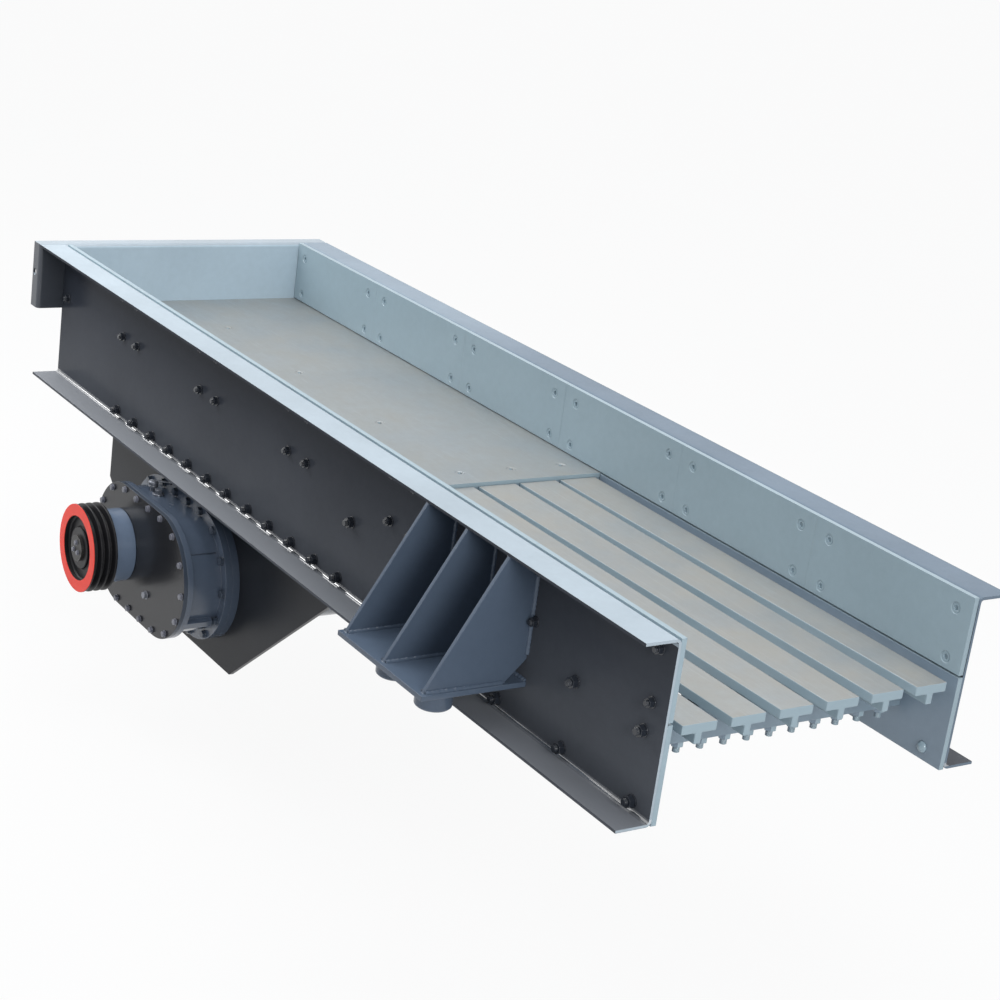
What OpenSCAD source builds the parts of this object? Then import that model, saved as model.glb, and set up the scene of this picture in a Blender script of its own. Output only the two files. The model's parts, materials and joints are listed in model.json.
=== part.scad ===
// Linear vibratory feeder: a flat trough with a grizzly at its discharge end,
// shaken by a two-shaft eccentric exciter that hangs below on two seat plates.
// Everything is drawn in millimetres from the discharge end (X = 0, the trough runs to -X)
// and the bottom of the side plates (Z = 0). place() then moves the origin to the centre
// of the four front spring seats, in the plane where the springs bear.

/* [Trough] */
// Length of the trough
trough_len = 3800; // [3600:50:4400]
// Clear width between the side liners
trough_w = 960; // [940:10:1100]
// Height of the side plates
side_h = 500; // [470:10:600]
// Thickness of the pressed side plates
side_t = 8; // [6:1:10]
// Width of the side plate flanges
flange_w = 100; // [80:5:120]
// Inside radius of every pressed fold
fold_r = 8; // [6:1:16]
// Height of the rear wall
wall_h = 244; // [200:4:300]
// Width of the rear wall's flanges
wall_flange = 60; // [40:5:80]

/* [Wear parts] */
// Thickness of the side liners, lower plates and seat plates
liner_t = 16; // [12:1:20]
// Gap between neighbouring wear plates
plate_gap = 3; // [1:1:5]
// Height of the deck's running face
deck_h = 274; // [266:2:286]
// Thickness of the deck's wear plate
wear_t = 14; // [10:1:20]
// Thickness of the deck pan
pan_t = 10; // [8:1:14]
// Depth of the ribs under the deck pan
rib_h = 90; // [60:5:110]
// Distance of the outer liner bolts from each liner's end
bolt_inset = 61.5; // [50:0.5:80]

/* [Grizzly] */
// Distance of the deck's front edge from the discharge end
deck_setback = 1655; // [1635:5:1800]
// Step from the deck down to the bars
bar_step = 11; // [8:1:20]
// Width of a bar at the discharge end
bar_front_w = 111; // [96:1:120]
// Width of a bar at the feed end
bar_rear_w = 139; // [124:1:144]
// Thickness of a bar's flange
bar_t = 28; // [20:1:34]
// Thickness of a bar's stem
stem_t = 22; // [16:1:28]
// Depth of a bar's stem
stem_h = 30; // [20:1:40]
// Distance of the bar tips from the discharge end
bar_setback = 4; // [4:1:30]
// Height of the cross-beams
beam_h = 96; // [80:4:110]
// Width of the cross-beams' flanges
beam_w = 50; // [44:1:70]
// Thickness of the cross-beams
beam_t = 8; // [6:1:10]
// Distance of the front cross-beam from the discharge end
front_beam_back = 185; // [140:5:260]
// Distance of the middle cross-beam from the discharge end
middle_beam_back = 775; // [700:5:850]

/* [Spring brackets] */
// Distance of the front spring seats' centre from the discharge end
bracket_back = 797; // [760:1:840]
// Height of the plane where the springs bear
seat_h = 120; // [100:5:150]
// Distance between two neighbouring spring seats, and between gussets
seat_pitch = 203; // [180:1:230]
// Distance of the front spring seats from the trough's middle plane
seat_y = 707; // [690:1:730]
// Reach of the bracket plate beyond the side plate
bracket_reach = 322; // [310:2:360]
// Thickness of the bracket's base plate
base_t = 15; // [12:1:20]
// Thickness of the gussets
gusset_t = 12; // [8:1:16]
// Radius of a spring seat
seat_r = 51.5; // [45:0.5:58]
// Length of a spring seat
seat_len = 80; // [60:5:100]
// Distance of the rear spring seats' centre from the feed end
rear_seat_inset = 388; // [360:1:440]
// Distance of the rear spring seats from the trough's middle plane
rear_seat_y = 350; // [300:5:400]

/* [Exciter] */
// Distance of the drive shaft from the discharge end
drive_back = 2720; // [2700:1:2750]
// Depth of the shafts below the side plates
shaft_drop = 274; // [262:1:290]
// Module of the timing gears
gear_m = 7; // [7:0.1:7.4]
// Teeth on each timing gear
gear_teeth = 41; // [41:2:43]
// Face width of the timing gears
gear_w = 60; // [40:5:70]
// Outer radius of the gear case's body
case_r = 196; // [192:1:199]
// Wall of the gear case
case_wall = 18; // [12:1:20]
// Length of the gear case
case_len = 152; // [140:2:180]
// Radius of the front flange and its cover
cover_r = 214; // [212:1:220]
// Radius of the bolted flanges on the seat plates
ring_r = 230; // [230:1:240]
// Thickness of the covers
cover_t = 14; // [10:1:20]
// Outer radius of the shaft bearings
bearing_r = 107.5; // [100:0.5:112]
// Radius of the shaft journals
journal_r = 50; // [45:1:55]
// Width of the shaft bearings
bearing_w = 73; // [60:1:80]
// Radius of the eccentric weight on each shaft
weight_r = 75; // [65:1:82]
// Throw of the eccentric weight
throw = 32; // [20:1:36]
// Direction in which the trough is thrown, above the horizontal
throw_angle = 45; // [30:1:60]
// Outer radius of the seal housing
housing_r = 125; // [115:1:135]
// Length of the seal housing
housing_len = 69; // [60:1:80]

/* [Sheave] */
// Outer radius of the sheave
sheave_r = 150; // [140:1:165]
// Inner radius of the sheave's rim
rim_in_r = 110; // [100:1:118]
// Radius of the sheave's hub
hub_r = 71; // [60:1:80]
// Distance between two belt grooves
groove_pitch = 25.5; // [24:0.5:28]
// Width of a belt groove at the rim
groove_w = 20; // [16:0.5:21]
// Depth of a belt groove
groove_d = 20; // [15:0.5:24]
// Belt grooves
grooves = 3; // [2:1:4]
// Distance of the outer grooves from the rim's faces
groove_edge = 17; // [14:0.5:20]
// Radius of the shaft in the sheave
nose_r = 32.5; // [28:0.5:36]

/* [Hidden] */
$fn = 64;

// Clearances
run = 0.05;          // radial, a shaft in its bearing or seal
slip = 0.3;          // radial, a bolt or spigot in its hole
air = 0.5;           // axial, between a turning and a standing face

// Fastener sizes: shank radius, hexagon's corner radius
m20 = [10, 17.3];
m16 = [8, 13.9];
m12 = [6, 11];
washer_t = 3;
sunk_r = 17;
head_depth = 9;

// Trough section, measured sideways from the middle plane
in_y = trough_w / 2;
web_in = in_y + liner_t;
web_out = web_in + side_t;
flange_y = web_out + flange_w;
fold_out = fold_r + side_t;

// Liners and their bolts
liners = 6;
liner_len = trough_len / liners;
liner_z = deck_h + plate_gap;
liner_rows = [liner_z + 31, side_h - 51];
liner_bolt_x = [for (i = [0 : liners - 1]) each
    [-i * liner_len - bolt_inset, -(i + 1) * liner_len + bolt_inset]];

// Deck
pan_z = deck_h - wear_t - pan_t;
rib_t = 12;
rear_seat_x = rear_seat_inset - trough_len;
deck_bolt_pitch = 575;
front_row_inset = 95;
deck_bolt_rows = [rear_seat_x, rear_seat_x + deck_bolt_pitch, rear_seat_x + 2 * deck_bolt_pitch,
    -deck_setback - front_row_inset];
rib_x = [for (k = [1 : 3]) deck_bolt_rows[k] + 32];
front_row_pitch = 195;
deck_bolt_at = concat([for (k = [0 : 2]) [deck_bolt_rows[k], 0]],
    [for (k = [-2 : 2]) [deck_bolt_rows[3], k * front_row_pitch]]);

// Bars and the beams under them
bars = 6;
bar_edge = 12;
bar_pitch = (trough_w - 2 * bar_edge) / bars;
bar_top = deck_h - bar_step;
bar_rear_x = plate_gap - deck_setback;
beam_top = bar_top - bar_t - stem_h;
beam_z = beam_top - beam_h;
stud_y = bar_pitch / 4;
stud_in = beam_w / 2;
stud_end = 38;
rear_beam_step = 12;
beam_xs = [-front_beam_back, -middle_beam_back, bar_rear_x + beam_w + rear_beam_step];

// Exciter axes, and the seat plates laid out from the middle between them
axis_gap = gear_m * gear_teeth;
axis_z = -shaft_drop;
drive_x = -drive_back;
driven_x = drive_x + axis_gap;
exciter_x = drive_x + axis_gap / 2;
seat_rear = 698.5;
seat_front = 1046.5;
seat_foot_rear = 281.5;
seat_foot_front = 355.5;
seat_foot_drop = 294;
seat_foot = axis_z - seat_foot_drop;
seat_knee = axis_z + 40;
seat_bolt_inset = 46;

// Frame bolts: a mid row and a bottom row through the lower plates, and the seat plates' row
frame_pitch = 292.5;
low_row_pitch = 308;
frame_bolt_inset = 75;
frame_bolt_x = [for (i = [0 : 5]) -frame_bolt_inset - i * frame_pitch];
low_bolt_x = [for (i = [0 : 5]) -frame_bolt_inset - i * low_row_pitch];
mid_row_z = deck_h - 47;
low_row_z = fold_out + m20[1] + 1.5;
seat_bolts = 12;
seat_bolt_pitch = 150;
seat_x0 = exciter_x - seat_rear;
seat_x1 = exciter_x + seat_front;
seat_bolt_x = [for (i = [0 : seat_bolts - 1]) seat_x0 + seat_bolt_inset + i * seat_bolt_pitch];
seat_top = 2 * low_row_z;
lower_split_x = seat_x1 + plate_gap + 5;
lower_rear_x = beam_xs[2] + plate_gap + 3;
all_frame_bolts = concat(
    [for (x = frame_bolt_x) if (x > lower_rear_x + 20) [x, mid_row_z]],
    [for (x = low_bolt_x) if (x > lower_split_x + 20) [x, low_row_z]],
    [for (x = seat_bolt_x) [x, low_row_z]]);

// Exciter stations along Y on the left: seat plate, carrier, gear case, cover, seal housing
carrier_t = 26;
carrier_y = -web_in - carrier_t;
carrier_in = 66;
carrier_r = 176;
flange_t = 24;
front_flange_t = 20;
tube_r = 198;
tube_wall = 12;
tube_flange_t = 20;
case_y = carrier_y - case_len;
cover_y = case_y - cover_t;
housing_y = cover_y - housing_len;
bearing_y = web_in + 19;
bearing_in = bearing_y - bearing_w;
gear_y = carrier_y - 18;
ring_bolt_r = case_r + 18;
cover_bolt_r = (case_r - case_wall + cover_r) / 2 + 2;
seal_t = 12;
seal_r = 60;
seal_shaft_r = 40;
gear_bore_r = 45;
weight_len = 2 * (bearing_in - 22);

// Sheave stations
sheave_y = housing_y - 8;
sheave_w = (grooves - 1) * groove_pitch + 2 * groove_edge;
sheave_face_y = sheave_y - sheave_w;
hub_front_y = sheave_face_y + 8;
end_plate_t = 10;
end_plate_r = 44;
key_w = 18;
key_h = 11;

paint_side = "#4a4f59";
paint_light = "#9fb0be";
paint_blue = "#5d6b80";
worn_steel = "#b3b5b2";
dark_bolt = "#2b2b30";
bright_steel = "#b9bcc0";

// ---- Helpers ----

module place() translate([bracket_back, 0, -seat_h]) children();

// Extrudes an outline in Y and Z along X
module along_x(x0, x1) translate([x0, 0, 0]) rotate([90, 0, 90]) linear_extrude(x1 - x0) children();

// Extrudes an outline in X and Z along Y
module along_y(y0, y1) translate([0, y1, 0]) rotate([90, 0, 0]) linear_extrude(y1 - y0) children();

// A turned length along Y
module rod(y0, y1, r) translate([0, y1, 0]) rotate([90, 0, 0]) cylinder(h = y1 - y0, r = r);

// A profile of radius and distance towards -Y, turned about an axis along Y
module turned(y) translate([0, y, 0]) rotate([90, 0, 0]) rotate_extrude() children();

module quarter_ring(r, t) intersection() {
    difference() {
        circle(r + t);
        circle(r);
    }
    square(r + t);
}

module on_side(s) if (s > 0) children(); else mirror([0, 1, 0]) children();

// Two joined circles about the two shafts
module two_shaft(r) translate([exciter_x, axis_z]) {
    for (s = [-1, 1]) translate([s * axis_gap / 2, 0]) circle(r);
    square([axis_gap, 2 * r], center = true);
}

// Eighteen bolt places round the same outline
function two_shaft_bolts(r) = concat(
    [for (s = [-1, 1]) for (a = [-60 : 30 : 60])
        [exciter_x + s * (axis_gap / 2 + r * cos(a)), axis_z + r * sin(a)]],
    [for (s = [-1, 1]) for (k = [-3 : 2 : 3])
        [exciter_x + k * axis_gap / 6, axis_z + s * r]]);

// Hexagon bolt along Y: head at y0 outside, nut beyond y1
module hex_bolt(size, y0, y1, head) {
    rod(y0 - washer_t, y1 + washer_t + 16, size[0]);
    rod(y0 - washer_t, y0, size[1] + 1);
    rod(y1, y1 + washer_t, size[1] + 1);
    translate([0, y0 - washer_t, 0]) rotate([90, 0, 0]) cylinder(h = head, r = size[1], $fn = 6);
    translate([0, y1 + washer_t + head, 0]) rotate([90, 0, 0]) cylinder(h = head, r = size[1], $fn = 6);
}

// ---- Trough ----

module channel_section() {
    translate([web_in, fold_out]) square([side_t, side_h - 2 * fold_out]);
    for (top = [0, 1]) translate([0, top * side_h]) mirror([0, top]) {
        translate([web_out + fold_r, fold_out]) rotate(180) quarter_ring(fold_r, side_t);
        translate([web_out + fold_r, 0]) square([flange_w - fold_r, side_t]);
    }
}

module side_plate(s) on_side(s) difference() {
    along_x(-trough_len, 0) channel_section();
    for (x = liner_bolt_x, z = liner_rows)
        translate([x, 0, z]) rod(web_in - 1, web_out + 1, m16[0] + slip);
    for (p = all_frame_bolts)
        translate([p[0], 0, p[1]]) rod(web_in - 1, web_out + 1, m20[0] + slip);
}

module left_side_plate() place() color(paint_side) side_plate(-1);
module right_side_plate() place() color(paint_side) side_plate(1);

wall_z = side_h - wall_h;
wall_x = -trough_len - side_t;
wall_hole_r = 13;
lift_x = -trough_len - side_t / 2 - wall_flange / 2 - 6;
lift_z = side_h - wall_h / 2 + 10;

// A rectangle from x0, y0 to x1, y1, rounded at its corner x1, y1
module rounded_edge(x0, y0, x1, y1, r) {
    translate([x0, y0]) square([x1 - x0 - r, y1 - y0]);
    translate([x0, y0]) square([x1 - x0, y1 - y0 - r]);
    translate([x1 - r, y1 - r]) circle(r);
}

// The rear wall's outside, or its inside when the inset is the plate's thickness: a sheet whose
// ends and top are folded back, with welded mitres at both top corners
module wall_block(inset) {
    back = wall_x + side_t - wall_flange - inset;
    front = wall_x + side_t - inset;
    intersection() {
        translate([0, 0, wall_z - inset]) linear_extrude(wall_h + inset)
            for (s = [0, 1]) mirror([0, s])
                rounded_edge(back, 0, front, flange_y - inset, fold_out - inset);
        along_y(-flange_y, flange_y)
            rounded_edge(back, wall_z - inset, front, side_h - inset, fold_out - inset);
    }
}

module rear_wall() place() color(paint_light) difference() {
    wall_block(0);
    wall_block(side_t);
    for (s = [-1, 1]) translate([lift_x, s * (flange_y - side_t / 2), lift_z])
        rod(-side_t, side_t, wall_hole_r);
}

// ---- Wear parts ----

module countersunk_hole(t) {
    rod(-1, t + 1, m16[0] + slip);
    translate([0, -0.01, 0]) rotate([-90, 0, 0])
        cylinder(h = head_depth, r1 = sunk_r + slip, r2 = m16[0] + slip);
}

module countersunk_bolt(grip) {
    rotate([-90, 0, 0]) cylinder(h = head_depth, r1 = sunk_r, r2 = m16[0]);
    rod(head_depth - 1, grip + washer_t + 20, m16[0]);
    rod(grip, grip + washer_t, m16[1] + 2);
    translate([0, grip + washer_t + 13, 0]) rotate([90, 0, 0]) cylinder(h = 13, r = m16[1], $fn = 6);
}

module liner(s, i) on_side(s) difference() {
    translate([-(i + 1) * liner_len + plate_gap / 2, in_y, liner_z])
        cube([liner_len - plate_gap, liner_t, side_h - liner_z]);
    for (k = [0, 1], z = liner_rows)
        translate([liner_bolt_x[2 * i + k], in_y, z]) countersunk_hole(liner_t);
}

module left_liner_1() place() color(paint_light) liner(-1, 0);
module left_liner_2() place() color(paint_light) liner(-1, 1);
module left_liner_3() place() color(paint_light) liner(-1, 2);
module left_liner_4() place() color(paint_light) liner(-1, 3);
module left_liner_5() place() color(paint_light) liner(-1, 4);
module left_liner_6() place() color(paint_light) liner(-1, 5);
module right_liner_1() place() color(paint_light) liner(1, 0);
module right_liner_2() place() color(paint_light) liner(1, 1);
module right_liner_3() place() color(paint_light) liner(1, 2);
module right_liner_4() place() color(paint_light) liner(1, 3);
module right_liner_5() place() color(paint_light) liner(1, 4);
module right_liner_6() place() color(paint_light) liner(1, 5);

// The lower plate reaches over the rear cross beam to the pan, and is notched over the seat
// plate's front corner
module lower_plate(s) on_side(s) difference() {
    along_y(in_y, web_in) polygon([
        [0, 0], [0, deck_h - plate_gap], [bar_rear_x, deck_h - plate_gap],
        [bar_rear_x, beam_top + plate_gap], [lower_rear_x, beam_top + plate_gap],
        [lower_rear_x, seat_top + plate_gap], [lower_split_x, seat_top + plate_gap], [lower_split_x, 0]]);
    for (p = all_frame_bolts) if (p[0] > lower_rear_x)
        translate([p[0], 0, p[1]]) rod(in_y - 1, web_in + 1, m20[0] + slip);
}

module left_lower_plate() place() color(paint_light) lower_plate(-1);
module right_lower_plate() place() color(paint_light) lower_plate(1);

module deck_holes(z0, z1) for (p = deck_bolt_at)
    translate([p[0], p[1], z0 - 1]) cylinder(h = z1 - z0 + 2, r = m16[0] + slip);

module deck_pan() place() color(paint_side) difference() {
    union() {
        translate([-trough_len, -web_in, pan_z]) cube([trough_len - deck_setback, 2 * web_in, pan_t]);
        for (x = rib_x) translate([x - rib_t / 2, -web_in, pan_z - rib_h])
            cube([rib_t, 2 * web_in, rib_h]);
    }
    deck_holes(pan_z, pan_z + pan_t);
}

module deck_wear_plate() place() color(worn_steel) difference() {
    translate([-trough_len, -web_in, deck_h - wear_t])
        cube([trough_len - deck_setback, 2 * web_in, wear_t]);
    deck_holes(deck_h - wear_t, deck_h);
    for (p = deck_bolt_at) translate([p[0], p[1], deck_h - head_depth])
        cylinder(h = head_depth + 0.01, r1 = m16[0] + slip, r2 = sunk_r + slip);
}

module deck_bolts() place() color(worn_steel) for (p = deck_bolt_at)
    translate([p[0], p[1], deck_h]) rotate([-90, 0, 0]) countersunk_bolt(wear_t + pan_t);

// ---- Grizzly ----

// A tapered T-bar, wider at the feed end so that nothing jams between two bars
module grizzly_bar(i) translate([0, (i - (bars - 1) / 2) * bar_pitch, 0]) {
    translate([0, 0, bar_top - bar_t]) linear_extrude(bar_t) polygon([
        [bar_rear_x, -bar_rear_w / 2], [-bar_setback, -bar_front_w / 2],
        [-bar_setback, bar_front_w / 2], [bar_rear_x, bar_rear_w / 2]]);
    translate([bar_rear_x, -stem_t / 2, beam_top]) cube([-bar_setback - bar_rear_x, stem_t, stem_h]);
}

module grizzly_bar_1() place() color(worn_steel) grizzly_bar(0);
module grizzly_bar_2() place() color(worn_steel) grizzly_bar(1);
module grizzly_bar_3() place() color(worn_steel) grizzly_bar(2);
module grizzly_bar_4() place() color(worn_steel) grizzly_bar(3);
module grizzly_bar_5() place() color(worn_steel) grizzly_bar(4);
module grizzly_bar_6() place() color(worn_steel) grizzly_bar(5);

bar_studs = [for (i = [0 : bars - 1]) each [for (s = [-1, 1]) (i - (bars - 1) / 2) * bar_pitch + s * stud_y]];

// A channel laid across the trough, its back towards the discharge
module cross_beam(x, half) difference() {
    along_y(-half, half) difference() {
        translate([x - beam_w, beam_z]) square([beam_w, beam_h]);
        translate([x - beam_w - 1, beam_z + beam_t]) square([beam_w - beam_t + 1, beam_h - 2 * beam_t]);
    }
    for (y = bar_studs) translate([x - stud_in, y, beam_z - 1])
        cylinder(h = beam_h + 2, r = m20[0] + slip);
}

module front_cross_beam() place() color(paint_blue) cross_beam(beam_xs[0], in_y);
module middle_cross_beam() place() color(paint_blue) cross_beam(beam_xs[1], in_y);
module rear_cross_beam() place() color(paint_blue) cross_beam(beam_xs[2], web_in);

// Studs hang from the bars' flanges, each with a washer and nut under the beam
module grizzly_studs() place() color(bright_steel) for (x = beam_xs, y = bar_studs)
    translate([x - stud_in, y, 0]) {
        translate([0, 0, beam_z - stud_end]) cylinder(h = bar_top - bar_t - beam_z + stud_end, r = m20[0]);
        translate([0, 0, beam_z - washer_t]) cylinder(h = washer_t, r = m20[1] + 1.5);
        translate([0, 0, beam_z - washer_t - 18]) cylinder(h = 18, r = m20[1], $fn = 6);
    }

// ---- Spring supports ----

base_len = 2 * seat_pitch + gusset_t + 26;

// A short round seat under a base plate, with a bevelled foot that guides the spring
module spring_seat() translate([0, 0, seat_h]) {
    translate([0, 0, 6 - seat_len]) cylinder(h = seat_len - 6, r = seat_r);
    translate([0, 0, -seat_len]) cylinder(h = 6, r1 = seat_r - 6, r2 = seat_r);
}

module gusset() along_x(-gusset_t / 2, gusset_t / 2) polygon([
    [web_out, seat_h + base_t + 60], [web_out + 60, seat_h + base_t],
    [web_out + bracket_reach - 12, seat_h + base_t], [flange_y - 2, side_h - side_t],
    [web_out + fold_r + 6, side_h - side_t], [web_out, side_h - side_t - fold_r - 6]]);

module spring_bracket(s) on_side(s) translate([-bracket_back, 0, 0]) {
    translate([-base_len / 2, web_out, seat_h]) cube([base_len, bracket_reach, base_t]);
    for (k = [-1 : 1]) translate([k * seat_pitch, 0, 0]) gusset();
    for (k = [-1, 1]) translate([k * seat_pitch / 2, seat_y, 0]) spring_seat();
}

module left_spring_bracket() place() color(paint_blue) spring_bracket(-1);
module right_spring_bracket() place() color(paint_blue) spring_bracket(1);

module rear_support_beam() place() color(paint_side) translate([rear_seat_x, 0, 0]) {
    translate([-base_len / 2, -web_in, seat_h]) cube([base_len, 2 * web_in, base_t]);
    for (k = [-1, 1]) translate([k * seat_pitch / 2 - gusset_t / 2, -web_in, seat_h + base_t])
        cube([gusset_t, 2 * web_in, pan_z - seat_h - base_t]);
    for (k = [-1, 1], s = [-1, 1])
        translate([k * seat_pitch / 2, s * rear_seat_y, 0]) spring_seat();
}

// ---- Exciter: standing parts ----

module seat_plate(s) on_side(s) difference() {
    along_y(in_y, web_in) difference() {
        polygon([[seat_x0, seat_top], [seat_x0, seat_knee],
            [exciter_x - seat_foot_rear, seat_foot], [exciter_x + seat_foot_front, seat_foot],
            [seat_x1, 0], [seat_x1, seat_top]]);
        two_shaft(carrier_r + slip);
        for (p = two_shaft_bolts(ring_bolt_r)) translate(p) circle(m16[0] + slip);
    }
    for (x = seat_bolt_x) translate([x, 0, low_row_z]) rod(in_y - 1, web_in + 1, m20[0] + slip);
}

module left_seat_plate() place() color(paint_side) seat_plate(-1);
module right_seat_plate() place() color(paint_side) seat_plate(1);

module ring_flange(y0, y1, inner) along_y(y0, y1) difference() {
    two_shaft(ring_r);
    two_shaft(inner);
    for (p = two_shaft_bolts(ring_bolt_r)) translate(p) circle(m16[0] + slip);
}

module exciter_tube() place() color(paint_blue) {
    along_y(-in_y, in_y) difference() {
        two_shaft(tube_r);
        two_shaft(tube_r - tube_wall);
    }
    for (s = [0, 1]) mirror([0, s, 0])
        along_y(in_y - tube_flange_t, in_y) difference() {
            two_shaft(ring_r);
            two_shaft(tube_r - tube_wall);
            for (p = two_shaft_bolts(ring_bolt_r)) translate(p) circle(m16[0] + slip);
        }
}

module bearing_carrier(s) on_side(s) difference() {
    union() {
        along_y(web_in, web_in + carrier_t) difference() {
            two_shaft(ring_r);
            for (p = two_shaft_bolts(ring_bolt_r)) translate(p) circle(m16[0] + slip);
        }
        along_y(web_in - carrier_in, web_in) two_shaft(carrier_r);
    }
    for (x = [drive_x, driven_x]) translate([x, 0, axis_z]) {
        rod(bearing_in - air, web_in + carrier_t + 1, bearing_r + run);
        rod(web_in - carrier_in - 1, bearing_in, journal_r + 22);
    }
}

module left_bearing_carrier() place() color(paint_blue) bearing_carrier(-1);
module right_bearing_carrier() place() color(paint_blue) bearing_carrier(1);

// Spherical roller bearing: both rings and the rollers between them, as one turned shape
module bearing(x, s) on_side(s) translate([x, 0, axis_z]) turned(bearing_y) polygon([
    [journal_r + run, 0], [journal_r + 18, 0], [journal_r + 22, 5], [bearing_r - 17, 5],
    [bearing_r - 14, 0], [bearing_r - 3, 0], [bearing_r, 3], [bearing_r, bearing_w - 3],
    [bearing_r - 3, bearing_w], [bearing_r - 14, bearing_w], [bearing_r - 17, bearing_w - 5],
    [journal_r + 22, bearing_w - 5], [journal_r + 18, bearing_w], [journal_r + run, bearing_w]]);

module drive_bearing_left() place() color(bright_steel) bearing(drive_x, -1);
module drive_bearing_right() place() color(bright_steel) bearing(drive_x, 1);
module driven_bearing_left() place() color(bright_steel) bearing(driven_x, -1);
module driven_bearing_right() place() color(bright_steel) bearing(driven_x, 1);

// Places of the plugs, from the middle between the shafts
plug_offset = [80, -98];
filler_offset = 78;
breather_offset = 120;
filler_overhang = 76;
plug_at = [exciter_x + plug_offset[0], axis_z + plug_offset[1]];
filler_x = exciter_x - filler_offset;
breather_x = exciter_x - breather_offset;
filler_y = carrier_y - filler_overhang;
case_top = axis_z + case_r;

// A local frame on the right-hand end of the case, turned up by an angle
module on_end(a) translate([driven_x, 0, axis_z]) rotate([0, -a, 0]) children();

module gear_case() place() color(paint_blue) difference() {
    union() {
        along_y(case_y, carrier_y) two_shaft(case_r);
        along_y(carrier_y - flange_t, carrier_y) difference() {
            two_shaft(ring_r);
            for (p = two_shaft_bolts(ring_bolt_r)) translate(p) circle(m16[0] + slip);
        }
        along_y(case_y, case_y + front_flange_t) two_shaft(cover_r);
        // Lug along the lower side of the case's end
        on_end(-33) translate([case_r - 12, case_y + 8, -14]) cube([30, case_len - flange_t - 24, 28]);
    }
    along_y(case_y - 1, carrier_y + 1) two_shaft(case_r - case_wall);
    // Joint groove along the upper side of the case's end
    on_end(39) translate([case_r - 6, case_y + front_flange_t + 4, -2.5])
        cube([10, case_len - flange_t - front_flange_t - 12, 5]);
    for (p = two_shaft_bolts(cover_bolt_r)) translate([p[0], 0, p[1]])
        rod(case_y - 1, case_y + front_flange_t - 2, m12[0] + slip);
    for (x = [filler_x, breather_x]) translate([x, filler_y, case_top - case_wall - 1])
        cylinder(h = case_wall + 2, r = 10 + slip);
}

module gear_case_cover() place() color(paint_side) along_y(cover_y, case_y) difference() {
    two_shaft(cover_r);
    translate([drive_x, axis_z]) circle(housing_r - 20 + slip);
    translate(plug_at) circle(10 + slip);
    for (p = two_shaft_bolts(cover_bolt_r)) translate(p) circle(m12[0] + slip);
}

module right_end_cover() place() color(paint_side)
    along_y(-carrier_y, -carrier_y + cover_t) difference() {
        two_shaft(ring_r);
        for (p = two_shaft_bolts(ring_bolt_r)) translate(p) circle(m16[0] + slip);
    }

module seal_housing() place() color(paint_light) translate([drive_x, 0, axis_z]) difference() {
    union() {
        rod(housing_y, cover_y, housing_r);
        rod(cover_y, case_y, housing_r - 20);
    }
    rod(housing_y - 1, case_y + 1, seal_shaft_r + 6);
    rod(housing_y - 1, housing_y + seal_t, seal_r + slip);
}

module shaft_seal() place() color("#1c1c1e") translate([drive_x, 0, axis_z]) difference() {
    rod(housing_y, housing_y + seal_t, seal_r);
    rod(housing_y - 1, housing_y + seal_t + 1, seal_shaft_r + run);
}

module oil_plugs() place() color(bright_steel) {
    translate([plug_at[0], 0, plug_at[1]]) {
        rod(cover_y, case_y + 4, 10);
        translate([0, cover_y, 0]) rotate([90, 0, 0]) cylinder(h = 12, r = 13, $fn = 6);
    }
    translate([filler_x, filler_y, case_top - case_wall]) {
        cylinder(h = case_wall, r = 10);
        translate([0, 0, case_wall]) cylinder(h = 5, r = 19);
        translate([0, 0, case_wall + 5]) cylinder(h = 14, r = 14, $fn = 6);
    }
    translate([breather_x, filler_y, case_top - case_wall]) {
        cylinder(h = case_wall + 14, r = 10);
        translate([0, 0, case_wall + 14]) cylinder(h = 24, r = 17);
    }
}

// ---- Exciter: turning parts ----

// Tooth outline: half angle of a tooth at a radius, from the involute of the base circle
pitch_r = axis_gap / 2;
pressure = 20;
base_r = pitch_r * cos(pressure);
root_r = pitch_r - 1.25 * gear_m;
backlash = 0.5;
function involute(r) = let (a = acos(min(1, base_r / r))) tan(a) * 180 / PI - a;
function half_tooth(r) = 90 / gear_teeth + involute(pitch_r) - involute(max(r, base_r))
    - backlash / 2 / pitch_r * 180 / PI;
flank = [for (k = [0 : 5]) root_r + k * 2.25 * gear_m / 5];
tooth = concat(
    [for (k = [0 : 5]) [flank[k], -half_tooth(flank[k])]],
    [for (k = [5 : -1 : 0]) [flank[k], half_tooth(flank[k])]]);

module gear(x) translate([x, 0, axis_z]) difference() {
    along_y(gear_y - gear_w, gear_y) difference() {
        polygon([for (n = [0 : gear_teeth - 1], p = tooth)
            p[0] * [cos(p[1] + n * 360 / gear_teeth), sin(p[1] + n * 360 / gear_teeth)]]);
        circle(gear_bore_r + run);
    }
    for (y = [gear_y - 15, gear_y - gear_w - 1]) difference() {
        rod(y, y + 16, root_r - 18);
        rod(y - 1, y + 17, gear_bore_r + 20);
    }
}

module keyway(x, r, y0, y1) translate([x - key_w / 2, y0, axis_z + r - key_h / 2])
    cube([key_w, y1 - y0, key_h]);

module drive_gear() place() color(bright_steel) difference() {
    gear(drive_x);
    keyway(drive_x, gear_bore_r, gear_y - gear_w - 1, gear_y + 1);
}

module driven_gear() place() color(bright_steel) gear(driven_x);

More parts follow.
